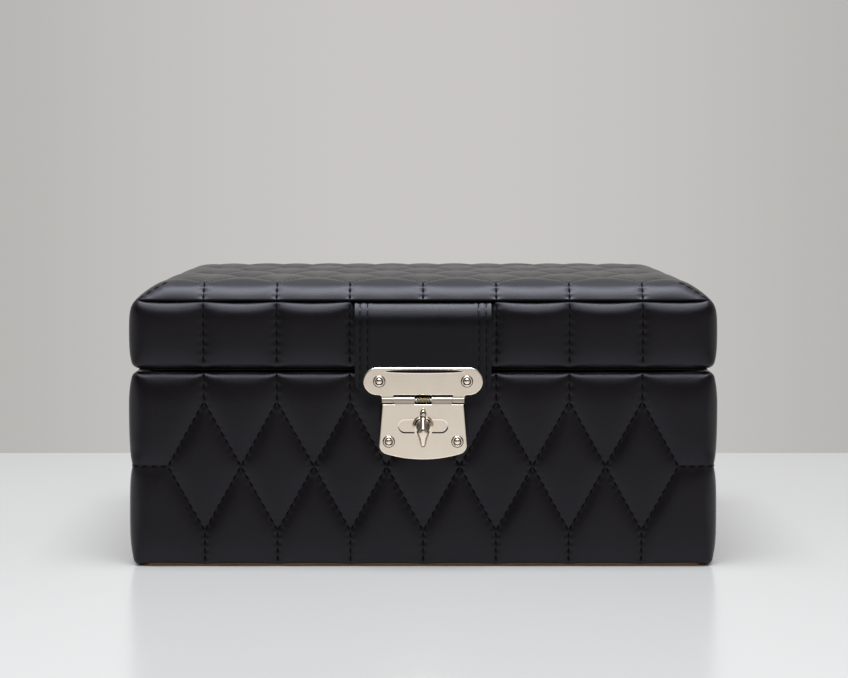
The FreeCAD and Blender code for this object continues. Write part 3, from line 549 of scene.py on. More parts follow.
def leather(name, dark, light, smooth, dull, shine, sewn):
    """Black dyed calf leather with a soft gloss."""
    finish = Finish(name)
    finish.set(Specular_IOR_Level=shine, Specular_Tint=LEATHER_SHEEN)
    tree = finish.tree
    grain = finish.group(GRAIN)
    colour = two_colours(tree, grain.outputs["Uneven"], dark, light)
    height = maths(tree, "MULTIPLY", grain.outputs["Height"], GRAIN_HEIGHT)
    rough = spread(tree, grain.outputs["Uneven"], 0.0, 1.0, smooth, dull)
    if sewn:
        pull = finish.group(SEAM_PULL)
        height = maths(tree, "MULTIPLY_ADD", pull.outputs["Height"], PULL_HEIGHT, height)
        colour = two_colours(tree, pull.outputs["Seam"], colour, SEAM_SHADE)
        rough = maths(tree, "MAXIMUM", rough, pull.outputs["Seam"])
    finish.feed(colour, "Base Color")
    finish.feed(rough, "Roughness")
    finish.bump(height, strength=0.6, depth=0.0006)
    return finish.material


def suede(name, dark, light):
    """Soft suede without a gloss."""
    finish = Finish(name)
    finish.set(Roughness=0.95, Specular_IOR_Level=0.12, Sheen_Weight=0.25, Sheen_Roughness=0.5)
    nap = finish.group(NAP, Dark=dark, Light=light)
    finish.feed(nap.outputs["Colour"], "Base Color")
    finish.bump(nap.outputs["Height"], strength=0.35, depth=0.0004)
    return finish.material


def plated(name, clean, marked, smooth, worn, shade_knuckles=False):
    """Plated metal with faint marks, painted shade in the grooves, and painted shade with a duller
    finish where its edge is rolled.
    """
    finish = Finish(name)
    finish.set(Metallic=1.0)
    tree = finish.tree
    marks = finish.group(HANDLING, Smooth=smooth, Worn=worn)
    colour = two_colours(tree, marks.outputs["Mark"], clean, marked)
    painted_shade = finish.add("ShaderNodeAttribute", attribute_name="painted_shade").outputs["Fac"]
    # painted shade: the point attribute darkens the colour and roughens it
    colour = two_colours(tree, painted_shade, colour, GROOVE_PAINTED_SHADE)
    rough = maths(tree, "MULTIPLY_ADD", painted_shade, PAINTED_SHADE_ROUGH, marks.outputs["Roughness"])
    # painted shade: the knuckle band is darkened, and roughened, to tone down its highlight
    if shade_knuckles:
        height = finish.add("ShaderNodeSeparateXYZ", {"Vector": place_on(tree)}).outputs["Z"]
        low, high = KNUCKLES
        above = spread(tree, height, low - KNUCKLE_FADE, low)
        below = spread(tree, height, high, high + KNUCKLE_FADE, to_low=1.0, to_high=0.0)
        dull = maths(tree, "MINIMUM", above, below)
        colour = two_colours(tree, dull, colour, KNUCKLE_SHADE_GOLD)
        rough = maths(tree, "MULTIPLY_ADD", dull, DULL_ROUGH, rough)
    finish.feed(colour, "Base Color")
    finish.feed(rough, "Roughness")
    finish.bump(marks.outputs["Height"], strength=0.05, depth=0.0001)
    return finish.material


def fibreboard(name):
    """Brown pressed board."""
    finish = Finish(name)
    finish.set(Roughness=0.85)
    fleck = finish.cloud(scale=900.0, detail=3.0, rough=0.7)
    finish.tint(fleck, (0.30, 0.20, 0.12, 1.0), (0.52, 0.38, 0.25, 1.0))
    finish.bump(fleck, strength=0.2, depth=0.0002)
    return finish.material


def silvered(name):
    """Mirror glass with a faint haze."""
    finish = Finish(name)
    finish.set(Metallic=1.0)
    haze = finish.cloud(scale=25.0, detail=3.0, rough=0.6)
    finish.tint(haze, (0.86, 0.88, 0.88, 1.0), (0.92, 0.93, 0.93, 1.0))
    finish.feed(spread(finish.tree, haze, 0.3, 0.8, to_low=0.01, to_high=0.03), "Roughness")
    return finish.material


def thread(name):
    """Dull twisted thread."""
    finish = Finish(name)
    finish.set(Specular_IOR_Level=0.06)
    twist = finish.cloud(scale=2400.0, detail=2.0, rough=0.6)
    finish.tint(twist, (0.001, 0.001, 0.001, 1.0), (0.004, 0.004, 0.004, 1.0))
    finish.feed(spread(finish.tree, twist, 0.3, 0.7, to_low=0.6, to_high=0.8), "Roughness")
    return finish.material


QUILTED_LEATHER = leather(
    "black quilted leather", (0.0056, 0.0044, 0.0048, 1.0), (0.008, 0.0064, 0.007, 1.0),
    smooth=0.27, dull=0.34, shine=0.28, sewn=True,
)
FLAP_LEATHER = leather(
    "black flap leather", (0.0042, 0.0042, 0.0046, 1.0), (0.0062, 0.0062, 0.0066, 1.0),
    smooth=0.26, dull=0.32, shine=0.28, sewn=False,
)
EDGE_LEATHER = leather(
    "black turned leather", (0.004, 0.004, 0.0045, 1.0), (0.007, 0.007, 0.0075, 1.0),
    smooth=0.5, dull=0.6, shine=0.1, sewn=False,
)
THREAD = thread("black waxed thread")
LINING = suede("taupe suede lining", (0.25, 0.185, 0.135, 1.0), (0.42, 0.33, 0.255, 1.0))
PAD_SUEDE = suede("taupe suede pads", (0.27, 0.20, 0.145, 1.0), (0.45, 0.355, 0.275, 1.0))
FOOT_SUEDE = suede("tan foot suede", (0.12, 0.075, 0.036, 1.0), (0.2, 0.13, 0.07, 1.0))
PALE_GOLD = plated("pale gold plate", GOLD, MARKED_GOLD, smooth=0.07, worn=0.12)
GOLD_WITH_KNUCKLE_SHADE = plated(
    "pale gold plate with painted knuckle shade", GOLD, MARKED_GOLD, smooth=0.07, worn=0.12, shade_knuckles=True
)
BRASS = plated(
    "spring brass", (0.50, 0.38, 0.17, 1.0), (0.22, 0.16, 0.07, 1.0), smooth=0.2, worn=0.35
)
STEEL = plated(
    "plated steel", (0.60, 0.59, 0.57, 1.0), (0.48, 0.47, 0.46, 1.0), smooth=0.22, worn=0.36
)
BOARD = fibreboard("fibreboard")
MIRROR = silvered("silvered glass")

FINISH_OF = {
    "suede_underlay": FOOT_SUEDE, "carcass_board": BOARD, "quilted_leather": QUILTED_LEATHER,
    "flap_leather": FLAP_LEATHER, "suede_lining": LINING, "suede_pad": PAD_SUEDE,
    "pale_gold": PALE_GOLD, "spring_brass": BRASS, "steel": STEEL, "mirror_glass": MIRROR,
}
for node_name, node_object in frame["nodes"].items():
    node_object.data.materials.clear()
    node_object.data.materials.append(FINISH_OF[SLOT_OF[node_name]])
for node_name in ("latch_plate", "hasp_plate"):
    frame["nodes"][node_name].data.materials[0] = GOLD_WITH_KNUCKLE_SHADE


# Where the seams of the quilting run

def wall_point(wall, across, height, half_x, half_y):
    """A point on one of the four walls, from its column number and height."""
    return {
        "front": Vector((across * COLUMN, -half_y, height)),
        "back": Vector((across * COLUMN, half_y, height)),
        "left": Vector((-half_x, across * SIDE_COLUMN, height)),
        "right": Vector((half_x, across * SIDE_COLUMN, height)),
    }[wall]


WALLS = (
    ("front", OUTER_CROSSING, Vector((0, -1, 0))), ("back", OUTER_CROSSING, Vector((0, 1, 0))),
    ("left", SIDE_CROSSING, Vector((-1, 0, 0))), ("right", SIDE_CROSSING, Vector((1, 0, 0))),
)


def column_of(point, half_x, half_y):
    """Column number of a point on a wall, or None at a corner."""
    if abs(point.x) < BORDER_X + TOUCHING and abs(point.y) > half_y - 2 * CORNER:
        return point.x / COLUMN
    if abs(point.y) < SIDE_CROSSING * SIDE_COLUMN + TOUCHING and abs(point.x) > half_x - 2 * CORNER:
        return point.y / SIDE_COLUMN
    return None


def on_wrap_seam(point):
    """True on the seams of the base: upright, then round long diamonds, level at the corners."""
    across = column_of(point, WRAP_X, WRAP_Y)
    rise = (point.z - CROSSING_HEIGHT) / HALF_DIAMOND
    if across is None:
        return abs(rise) < TOUCHING
    if abs(rise) > 1.0:
        return near_even(across)
    return near_odd(across + rise) or near_odd(across - rise)


def on_band_seam(point):
    """True on the lid band's upright seams."""
    across = column_of(point, BAND_X, BAND_Y)
    return across is not None and near_even(across)


def past_border(point):
    """How far a point is down the lid pad's border, across and along, from 0 to 1."""
    past_x = (abs(point.x) - BORDER_X) / (PAD_X - BORDER_X)
    past_y = (abs(point.y) - BORDER_Y) / (PAD_Y - BORDER_Y)
    return past_x, past_y


def on_border_corner(point):
    """True on the mitred seams of the lid pad's border."""
    if abs(point.x) < BORDER_X - ON_EDGE or abs(point.y) < BORDER_Y - ON_EDGE:
        return False
    past_x, past_y = past_border(point)
    return abs(past_x - past_y) < ON_SEAM


def on_pad_seam(point):
    """True on the lid pad's seams: diamonds, and the short seams from them to the pad's edge."""
    across, back = point.x / COLUMN, point.y / TOP_ROW
    inside_x, inside_y = BORDER_X - abs(point.x), BORDER_Y - abs(point.y)
    if inside_x > ON_EDGE and inside_y > ON_EDGE:
        return near_even(across + back + TOP_ROWS) or near_even(across - back + TOP_ROWS)
    if inside_x > ON_EDGE:
        return near_even(across)
    if inside_y > ON_EDGE:
        return near_even(back)
    return on_border_corner(point)


def walk(points, pitch=STITCH):
    """Middle, direction and length of each stitch along a run of points."""
    lengths = [(b - a).length for a, b in zip(points, points[1:])]
    total = sum(lengths)
    count = max(1, round(total / pitch))
    found = []
    for number in range(count):
        left = (number + 0.5) * total / count
        for start, end, length in zip(points, points[1:], lengths):
            if left <= length:
                middle = start.lerp(end, left / length)
                found.append((middle, (end - start).normalized(), total / count))
                break
            left -= length
    return found


def wrap_seams():
    """Every seam of the base as (points, outward direction)."""
    seams = []
    high, low = CROSSING_HEIGHT + HALF_DIAMOND, CROSSING_HEIGHT - HALF_DIAMOND
    for wall, outer, out in WALLS:
        def at(across, height):
            return wall_point(wall, across, height, WRAP_X, WRAP_Y)

        for column in range(-outer, outer):
            odd, even = (column, column + 1) if column % 2 else (column + 1, column)
            for tip in (high, low):
                seams.append(([at(odd, CROSSING_HEIGHT), at(even, tip)], out))
        for column in range(1 - outer, outer, 2):
            over = over_edge(wall, column, WRAP_TOP, RIM, WRAP_X, WRAP_Y)
            seams.append(([at(column, high)] + over, out))
            seams.append(([at(column, low), at(column, WRAP_FOOT + FOOT_RIM)], out))
    for side in (-1, 1):
        for front in (-1, 1):
            seams.append((corner_run(side, front), Vector((side, front, 0)).normalized()))
    return seams


def corner_run(side, front):
    """The level seam round one corner of the base."""
    centre = Vector((side * (WRAP_X - CORNER), front * (WRAP_Y - CORNER), CROSSING_HEIGHT))
    points = [Vector((side * BORDER_X, front * WRAP_Y, CROSSING_HEIGHT))]
    for step in range(CORNER_STEPS + 1):
        angle = math.pi / 2 * step / CORNER_STEPS
        bend = Vector((side * math.sin(angle), front * math.cos(angle), 0))
        points.append(centre + CORNER * bend)
    points.append(Vector((side * WRAP_X, front * SIDE_CROSSING * SIDE_COLUMN, CROSSING_HEIGHT)))
    return points


def over_edge(wall, column, top, radius, half_x, half_y):
    """Points of an upright seam that goes on over a rounded edge."""
    points = []
    for step in range(EDGE_STEPS):
        angle = math.radians(EDGE_TURN * step)
        inset = radius * (1 - math.cos(angle))
        height = top - radius + radius * math.sin(angle)
        points.append(wall_point(wall, column, height, half_x - inset, half_y - inset))
    return points


def band_seams():
    """Every upright seam of the lid's band."""
    seams = []
    for wall, outer, out in WALLS:
        for column in range(1 - outer, outer, 2):
            foot = wall_point(wall, column, BAND_FOOT + RIM, BAND_X, BAND_Y)
            over = over_edge(wall, column, BAND_TOP, BAND_SHOULDER, BAND_X, BAND_Y)
            seams.append(([foot] + over, out))
    return seams


def pad_height(x, y):
    """Height of the lid pad's seams: a low dome inside the border."""
    share_x, share_y = min(abs(x) / BORDER_X, 1.0), min(abs(y) / BORDER_Y, 1.0)
    return BORDER_HEIGHT + DOME * (1 - share_x ** 2) * (1 - share_y ** 2)


def on_pad(across, back):
    """A point of the lid pad's diamonds, from its column and row."""
    x, y = across * COLUMN, back * TOP_ROW
    return Vector((x, y, pad_height(x, y)))


def border_run(x, y):
    """A short seam of the lid pad's border, from the diamonds' edge to the crease."""
    inner = Vector((x, y, BORDER_HEIGHT))
    return [border_point(inner, step / BORDER_STEPS) for step in range(BORDER_STEPS + 1)]


def pad_seams():
    """Every seam of the lid's pad."""
    up = Vector((0, 0, 1))
    seams = []
    for column in range(-OUTER_CROSSING, OUTER_CROSSING):
        for row in range(-TOP_ROWS, TOP_ROWS):
            if (column + row + TOP_ROWS) % 2:
                ends = (column + 1, row), (column, row + 1)
            else:
                ends = (column, row), (column + 1, row + 1)
            seams.append(([on_pad(*ends[0]), on_pad(*ends[1])], up))
    for side in (-1, 1):
        out = Vector((0, side * BORDER_LEAN, BORDER_RISE))
        for column in range(1 - OUTER_CROSSING, OUTER_CROSSING, 2):
            seams.append((border_run(column * COLUMN, side * BORDER_Y), out))
        out = Vector((side * BORDER_LEAN, 0, BORDER_RISE))
        for row in range(1 - TOP_ROWS, TOP_ROWS, 2):
            seams.append((border_run(side * BORDER_X, row * TOP_ROW), out))
        for end in (-1, 1):
            corner = border_run(side * BORDER_X, end * BORDER_Y)
            out = Vector((side * CORNER_LEAN, end * CORNER_LEAN, BORDER_RISE))
            seams.append((corner, out))
    return seams


def mark_seams(piece, seams):
    """Writes how far each point of the leather is from a seam, and how far along its stitches."""
    count = len(piece.data.vertices)
    flat = numpy.zeros(count * 3)
    piece.data.vertices.foreach_get("co", flat)
    points = flat.reshape(-1, 3) * 1000
    nearest = numpy.full(count, 1e9)
    along_run = numpy.zeros(count)
    for run, _ in seams:
        total = sum((b - a).length for a, b in zip(run, run[1:]))
        pitch = total / max(1, round(total / STITCH))
        passed = 0.0
        for start, end in zip(run, run[1:]):
            first, line = numpy.array(start), numpy.array(end - start)
            length = (end - start).length
            share = numpy.clip((points - first) @ line / length ** 2, 0, 1)
            gap = numpy.linalg.norm(points - first - share[:, None] * line, axis=1)
            place = passed + share * length
            closer = gap < nearest
            nearest[closer] = gap[closer]
            along_run[closer] = (numpy.minimum(place, total - place) / pitch)[closer]
            passed += length
    for label, values in (("seam_gap", nearest), ("stitch_run", along_run)):
        attribute = piece.data.attributes.new(label, "FLOAT", "POINT")
        attribute.data.foreach_set("value", values.astype(numpy.float32))


def sew(name, seams, body, slot, lift=0.12, thick=0.28, slant=0.2):
    """A row of short stitches along every seam."""
    bm = bmesh.new()
    bmesh.ops.create_uvsphere(
        bm, u_segments=6, v_segments=5, radius=1.0, matrix=Matrix.Rotation(math.pi / 2, 4, "Y")
    )
    stitch = mesh_of(bm, "stitch")
    bm.clear()
    for points, out in seams:
        for middle, direction, pitch in walk(points):
            across = out.cross(direction).normalized()
            up = direction.cross(across)
            direction = direction * math.cos(slant) + across * math.sin(slant)
            across = up.cross(direction)
            turn = Matrix((direction, across, up)).transposed().to_4x4()
            size = Matrix.Diagonal((pitch * STITCH_SHARE, thick, thick * STITCH_FLAT, 1))
            copy = stitch.copy()
            copy.transform(Matrix.Translation(middle + up * lift) @ turn @ size)
            bm.from_mesh(copy)
            bpy.data.meshes.remove(copy)
    bpy.data.meshes.remove(stitch)
    return make_piece(name, bm, THREAD, body, slot=slot)


# Padded leather

def puffed(bm, on_seam, pressure, cap):
    """Leather held at its seams and swollen by the foam behind it, by a cloth simulation."""
    bm.verts.ensure_lookup_table()
    bm.verts.index_update()
    held = [v.index for v in bm.verts if v.is_boundary or on_seam(v.co)]
    mesh = mesh_of(bm, "swelling leather")
    mesh.transform(TO_METRES)
    cover = put("swelling leather", mesh)
    cover.vertex_groups.new(name="held").add(held, 1.0, "REPLACE")
    cloth = cover.modifiers.new("swell", "CLOTH")
    settings = cloth.settings
    for name, value in CLOTH.items():
        setattr(settings, name, value)
    settings.uniform_pressure_force = pressure
    settings.effector_weights.gravity = 0.0
    cloth.collision_settings.use_collision = False
    scene = bpy.context.scene
    for number in range(CLOTH_FRAMES):
        scene.frame_set(number + 1)
    swollen = changed_mesh(cover)
    flat = numpy.zeros(len(swollen.vertices) * 3)
    swollen.vertices.foreach_get("co", flat)
    scene.frame_set(1)
    for vert, place in zip(bm.verts, flat.reshape(-1, 3) * 1000):
        move = Vector(place) - vert.co
        length = move.length
        if length > 1e-6:
            most = cap(vert.co)
            vert.co += move * (most * math.tanh(length / most) / length)
    bpy.data.objects.remove(cover)
    bpy.data.meshes.remove(mesh)


def split_on_seams(bm, on_seam):
    """Cuts the small squares that a slanting seam crosses, so that an edge follows the seam."""
    bm.normal_update()
    for face in list(bm.faces):
        if len(face.verts) != 4:
            continue
        a, b, c, d = face.verts
        for first, second in ((a, c), (b, d)):
            middle = (first.co + second.co) / 2
            if on_seam(first.co) and on_seam(second.co) and on_seam(middle):
                bmesh.utils.face_split(face, first, second)
                break


def crease_seams(bm, on_seam, amount=0.85):
    """Keeps the seams sharp when the leather is smoothed."""
    layer = bm.edges.layers.float.get("crease_edge") or bm.edges.layers.float.new("crease_edge")
    for edge in bm.edges:
        a, b = edge.verts
        if on_seam(a.co) and on_seam(b.co) and on_seam((a.co + b.co) / 2):
            edge[layer] = amount


def wall_wrap(half_x, half_y, foot, top, foot_rim, shoulder, heights, cuts):
    """Leather round four walls, cut so that its grid follows the quilting.

    Each of the cuts is for upright runs: the shortest, the longest and how many cuts they get.
    """
    bm = block((-half_x, -half_y, foot), (half_x, half_y, top))
    round_edges(bm, [e for e in bm.edges if along(e, 2)], CORNER, CORNER_STEPS)
    for level, radius, count in ((foot, foot_rim, 3), (top, shoulder, 5)):
        rim = [e for e in bm.edges if all(abs(v.co.z - level) < 0.001 for v in e.verts)]
        round_edges(bm, rim, radius, count)
    ends = [f for f in bm.faces if len(f.verts) > 4]
    bmesh.ops.delete(bm, geom=ends, context="FACES_ONLY")
    for number in range(-OUTER_CROSSING, OUTER_CROSSING + 1):
        slice_at(bm, (number * COLUMN, 0, 0), (1, 0, 0))
    for number in range(-SIDE_CROSSING, SIDE_CROSSING + 1):
        slice_at(bm, (0, number * SIDE_COLUMN, 0), (0, 1, 0))
    for height in heights:
        slice_at(bm, (0, 0, height), (0, 0, 1))
    for axis in (0, 1):
        split_runs(bm, axis, shortest=10, longest=20, cuts=GRID - 1)
        split_runs(bm, axis, shortest=4, longest=10, cuts=3)
    for shortest, longest, number in cuts:
        split_runs(bm, 2, shortest, longest, number)
    return bm


def close_wrap(bm):
    """Turns the two open edges in and joins them behind the leather."""
    made = extrude_rim(bm)
    verts = list(filter(is_vert, made))
    edge_x, edge_y = (max(v.co[axis] for v in verts) for axis in (0, 1))
    bmesh.ops.scale(bm, vec=(BEHIND_X / edge_x, BEHIND_Y / edge_y, 1), verts=verts)
    bmesh.ops.bridge_loops(bm, edges=[e for e in made if is_edge(e) and e.is_boundary])
    bmesh.ops.recalc_face_normals(bm, faces=bm.faces)


def hold_between(bm, low, high):
    """Keeps the leather between two heights."""
    for vert in bm.verts:
        vert.co.z = min(max(vert.co.z, low), high)


def press_flat(bm, half_width, low, high, limit, fade):
    """Presses the front's leather back where something lies on it."""
    for vert in bm.verts:
        if vert.co.y < -limit:
            out_x = (abs(vert.co.x) - half_width) / fade
            out_z = max(low - vert.co.z, vert.co.z - high) / fade
            weight = ease(1 - max(out_x, out_z))
            vert.co.y += (-limit - vert.co.y) * weight


def tuck_under_flap(bm):
    """Presses the lid band's leather in under the flap, round its bend as well."""
    inside = FLAP_OUT - FLAP_THICK - TUCK_GAP
    for vert in bm.verts:
        if vert.co.y > 0:
            continue
        weight = ease(1 - (abs(vert.co.x) - FLAP_HALF + TUCK_INSET) / TUCK_FADE)
        rise = max(vert.co.z - FLAP_BEND_Z, 0.0)
        reach = math.sqrt(max(inside ** 2 - rise ** 2, 0.0))
        limit = FLAP_BEND_Y - reach
        if vert.co.y < limit:
            vert.co.y += (limit - vert.co.y) * weight


def smoothed(bm):
    """The same leather with one level of smoothing, its seams kept."""
    mesh = mesh_of(bm, "smoothing leather")
    bm.free()
    cover = put("smoothing leather", mesh)
    smoothing = cover.modifiers.new("smooth", "SUBSURF")
    smoothing.levels = 1
    smoothing.render_levels = 1
    bm = bmesh.new()
    bm.from_mesh(changed_mesh(cover))
    bpy.data.objects.remove(cover)
    bpy.data.meshes.remove(mesh)
    return bm


def wrap_puff(point):
    """How far the base's leather may swell: less near the rim, where it is drawn tight."""
    tight = ease((point.z - TIGHT_FROM) / (TIGHT_TO - TIGHT_FROM))
    return WRAP_PUFF * (1 - TIGHT_SHARE * tight)


def make_wrap():
    """Quilted leather round the base."""
    high, low = CROSSING_HEIGHT + HALF_DIAMOND, CROSSING_HEIGHT - HALF_DIAMOND
    cuts = ((20, 40, GRID - 1), (8, 20, 3))
    bm = wall_wrap(
        WRAP_X, WRAP_Y, WRAP_FOOT, WRAP_TOP, FOOT_RIM, RIM, (low, CROSSING_HEIGHT, high), cuts
    )
    split_on_seams(bm, on_wrap_seam)
    crease_seams(bm, on_wrap_seam)
    puffed(bm, on_wrap_seam, WRAP_PRESSURE, wrap_puff)
    press_flat(bm, **UNDER_HASP)
    press_flat(bm, **UNDER_FLAP)
    hold_between(bm, *WRAP_HEIGHTS)
    bm = smoothed(bm)
    close_wrap(bm)
    piece = make_piece("quilted_wrap", bm, QUILTED_LEATHER, "base", ["base_cover"], fill=0.8)
    mark_seams(piece, wrap_seams())
    sew("wrap_stitches", wrap_seams(), "base", "quilted_leather")


def make_band():
    """Quilted leather round the lid's sides."""
    cuts = ((10, 40, GRID - 1),)
    bm = wall_wrap(BAND_X, BAND_Y, BAND_FOOT, BAND_TOP, RIM, BAND_SHOULDER, (), cuts)
    crease_seams(bm, on_band_seam)
    puffed(bm, on_band_seam, PRESSURE, lambda point: PUFF)
    tuck_under_flap(bm)
    hold_between(bm, *BAND_HEIGHTS)
    bm = smoothed(bm)
    close_wrap(bm)
    piece = make_piece("quilted_band", bm, QUILTED_LEATHER, "lid", ["lid_band"], fill=0.8)
    mark_seams(piece, band_seams())
    shown = [seam for seam in band_seams() if abs(seam[0][0].x) > 1 or seam[0][0].y > 0]
    sew("band_stitches", shown, "lid", "quilted_leather")


def pad_puff(point):
    """How far the lid pad's leather may swell: less down its sloping border."""
    return PAD_PUFF * (1 - BORDER_TIGHT * ease(max(past_border(point))))


def make_pad():
    """Quilted pad on the lid's top, with its sewn border."""
    bm = bmesh.new()
    bmesh.ops.create_grid(
        bm, x_segments=2 * OUTER_CROSSING * GRID, y_segments=2 * TOP_ROWS * GRID, size=1.0
    )
    bmesh.ops.scale(bm, vec=(BORDER_X, BORDER_Y, 1), verts=bm.verts)
    for vert in bm.verts:
        vert.co.z = pad_height(vert.co.x, vert.co.y)
    start = {v: v.co.copy() for v in bm.verts if v.is_boundary}
    for step in range(1, BORDER_STEPS + 1):
        grown = {}
        for vert in filter(is_vert, extrude_rim(bm)):
            before = next(o for o in (e.other_vert(vert) for e in vert.link_edges) if o in start)
            grown[vert] = start[before]
            vert.co = border_point(start[before], step / BORDER_STEPS)
        start = grown
    split_on_seams(bm, on_pad_seam)
    crease_seams(bm, on_pad_seam)
    puffed(bm, on_pad_seam, PRESSURE, pad_puff)
    bm = smoothed(bm)
    made = extrude_rim(bm)
    under = list(filter(is_vert, made))
    bmesh.ops.scale(bm, vec=(PAD_UNDERSIDE, PAD_UNDERSIDE, 1), verts=under)
    bmesh.ops.edgeloop_fill(bm, edges=[e for e in made if is_edge(e) and e.is_boundary])
    bmesh.ops.recalc_face_normals(bm, faces=bm.faces)
    piece = make_piece("quilted_pad", bm, QUILTED_LEATHER, "lid", ["lid_top_pad"], fill=0.85)
    mark_seams(piece, pad_seams())
    sew("pad_stitches", pad_seams(), "lid", "quilted_leather", lift=-0.05)


def border_point(base, share):
    """A point of the border, from the one it starts at on the diamonds' edge."""
    x, y = base.x, base.y
    at_side = abs(abs(x) - BORDER_X) < TOUCHING
    at_end = abs(abs(y) - BORDER_Y) < TOUCHING
    grow_x = ease((abs(x) - (BORDER_X - COLUMN)) / COLUMN) if at_end else 1.0
    grow_y = ease((abs(y) - (BORDER_Y - COLUMN)) / COLUMN) if at_side else 1.0
    x += math.copysign((PAD_X - BORDER_X) * share * grow_x, x)
    y += math.copysign((PAD_Y - BORDER_Y) * share * grow_y, y)
    half_x = BORDER_X + (PAD_X - BORDER_X) * share
    half_y = BORDER_Y + (PAD_Y - BORDER_Y) * share
    radius = CORNER * share
    past = Vector((abs(x) - (half_x - radius), abs(y) - (half_y - radius)))
    if radius > 0 and past.x > 0 and past.y > 0:
        reach = max(past.x, past.y) / past.length
        x = math.copysign(half_x - radius + past.x * reach, x)
        y = math.copysign(half_y - radius + past.y * reach, y)
    bulge = BORDER_ROUND * math.sqrt(share) * (1 - share)
    height = BORDER_HEIGHT + (PAD_FOOT - BORDER_HEIGHT) * share + BORDER_SWELL * bulge
    return Vector((x, y, height))


# Flap

def flap_path(share):
    """A point down the flap's outer face: round the lid's shoulder, then straight down."""
    bend = FLAP_OUT * FLAP_SWEEP
    total = bend + FLAP_BEND_Z - FLAP_FOOT
    run = share * total
    if run < bend:
        angle = math.pi / 2 - FLAP_SWEEP + run / FLAP_OUT
        return FLAP_BEND_Y - FLAP_OUT * math.sin(angle), FLAP_BEND_Z + FLAP_OUT * math.cos(angle)
    return FLAP_BEND_Y - FLAP_OUT, FLAP_BEND_Z - (run - bend)


def make_flap():
    """Closing flap of two plies, with a double row of stitches down each side."""
    bm = bmesh.new()
    start = bm.verts.new((-FLAP_HALF, FLAP_BEND_Y, FLAP_BEND_Z + FLAP_OUT))
    centre = (0, FLAP_BEND_Y, FLAP_BEND_Z)
    bmesh.ops.rotate(
        bm, verts=[start], cent=centre, matrix=Matrix.Rotation(math.pi / 2 - FLAP_SWEEP, 3, "X")
    )
    bmesh.ops.spin(
        bm, geom=[start], cent=centre, axis=(1, 0, 0), angle=FLAP_SWEEP, steps=BEND_STEPS
    )
    last = min(bm.verts, key=lambda v: v.co.z)
    bmesh.ops.spin(
        bm, geom=[last], cent=centre, axis=(1, 0, 0), angle=0, steps=DROP_STEPS,
        dvec=(0, 0, (FLAP_FOOT - FLAP_BEND_Z) / DROP_STEPS),
    )
    bmesh.ops.spin(
        bm, geom=bm.verts[:] + bm.edges[:], cent=centre, axis=(1, 0, 0), angle=0,
        steps=ACROSS_STEPS, dvec=(FLAP_HALF * 2 / ACROSS_STEPS, 0, 0),
    )
    bmesh.ops.remove_doubles(bm, verts=bm.verts, dist=0.001)
    for vert in bm.verts:
        shape_flap(vert)
    bmesh.ops.recalc_face_normals(bm, faces=bm.faces)
    bm.faces.ensure_lookup_table()
    if sum(f.normal.y for f in bm.faces) > 0:
        bmesh.ops.reverse_faces(bm, faces=bm.faces)
    piece = make_piece("closing_flap", bm, FLAP_LEATHER, "lid", ["flap_face", "flap_backing"])
    plies = piece.modifiers.new("plies", "SOLIDIFY")
    plies.thickness = FLAP_THICK / 1000
    plies.offset = -1
    edge = piece.modifiers.new("edge", "BEVEL")
    edge.width = FLAP_EDGE / 1000
    edge.segments = 3
    edge.limit_method = "ANGLE"
    edge.angle_limit = math.radians(50)
    seams = []
    for inset in FLAP_ROWS:
        for side in (-1, 1):
            points = []
            for step in range(4, ROW_STEPS - 1):
                y, z = flap_path(step / ROW_STEPS)
                points.append(Vector((side * (FLAP_HALF - inset), y, z)))
            seams.append((points, Vector((0, -1, 0.05))))
    sew("flap_stitches", seams, "lid", "flap_leather", lift=-0.05, thick=0.3, slant=0.0)


def shape_flap(vert):
    """Rounds the foot's corners, raises the hem a little and sinks its stitch rows."""
    low = FLAP_FOOT + FLAP_CORNER - vert.co.z
    if low > 0:
        low = min(low, FLAP_CORNER)
        half = FLAP_HALF - FLAP_CORNER + math.sqrt(FLAP_CORNER ** 2 - low ** 2)
        vert.co.x *= half / FLAP_HALF
    inset = FLAP_HALF - abs(vert.co.x)
    sink = sum(math.exp(-((inset - row) / ROW_WIDTH) ** 2) for row in FLAP_ROWS) * ROW_DEPTH
    hem = HEM_LIFT * ease((HEM_INSET - inset) / HEM_FADE)
    lift = hem - sink
    if vert.co.z < FLAP_BEND_Z:
        vert.co.y -= lift
    else:
        out = Vector((0, vert.co.y - FLAP_BEND_Y, vert.co.z - FLAP_BEND_Z)).normalized()
        vert.co += out * lift


# Lock

def write_painted_shade(piece, shade_at):
    """Writes how much painted shade lies at each point of a metal piece, from where it is in front
    view.
    """
    painted_shade = piece.data.attributes.new("painted_shade", "FLOAT", "POINT")
    for vert in piece.data.vertices:
        painted_shade.data[vert.index].value = shade_at(vert.co.x * 1000, vert.co.z * 1000)


def make_rivets(name, places, body, node):
    """Rivets with a turned rim, a groove on both sides of it darkened with painted shade, and a low
    dome.
    """
    # painted shade: full inside the two groove rings round each rivet, none elsewhere
    def shade_at(x, z):
        radius = min(math.hypot(x - middle_x, z - middle_z) for middle_x, middle_z in places)
        return float(any(low < radius < high for low, high in RIVET_GROOVES))

    parts = [turned(RIVET_PROFILE, (x, PLATE_FRONT, z), (0, -1, 0)) for x, z in places]
    write_painted_shade(make_piece(name, join(parts), PALE_GOLD, body, [node]), shade_at)


def leaf_half_width(share):
    """Half the width of the knob's leaf, from its foot at -1 to its top at 1."""
    for (low, first), (high, second) in zip(LEAF_WIDTHS, LEAF_WIDTHS[1:]):
        if share <= high:
            return first + (second - first) * ease((share - low) / (high - low))
    return LEAF_WIDTHS[-1][1]


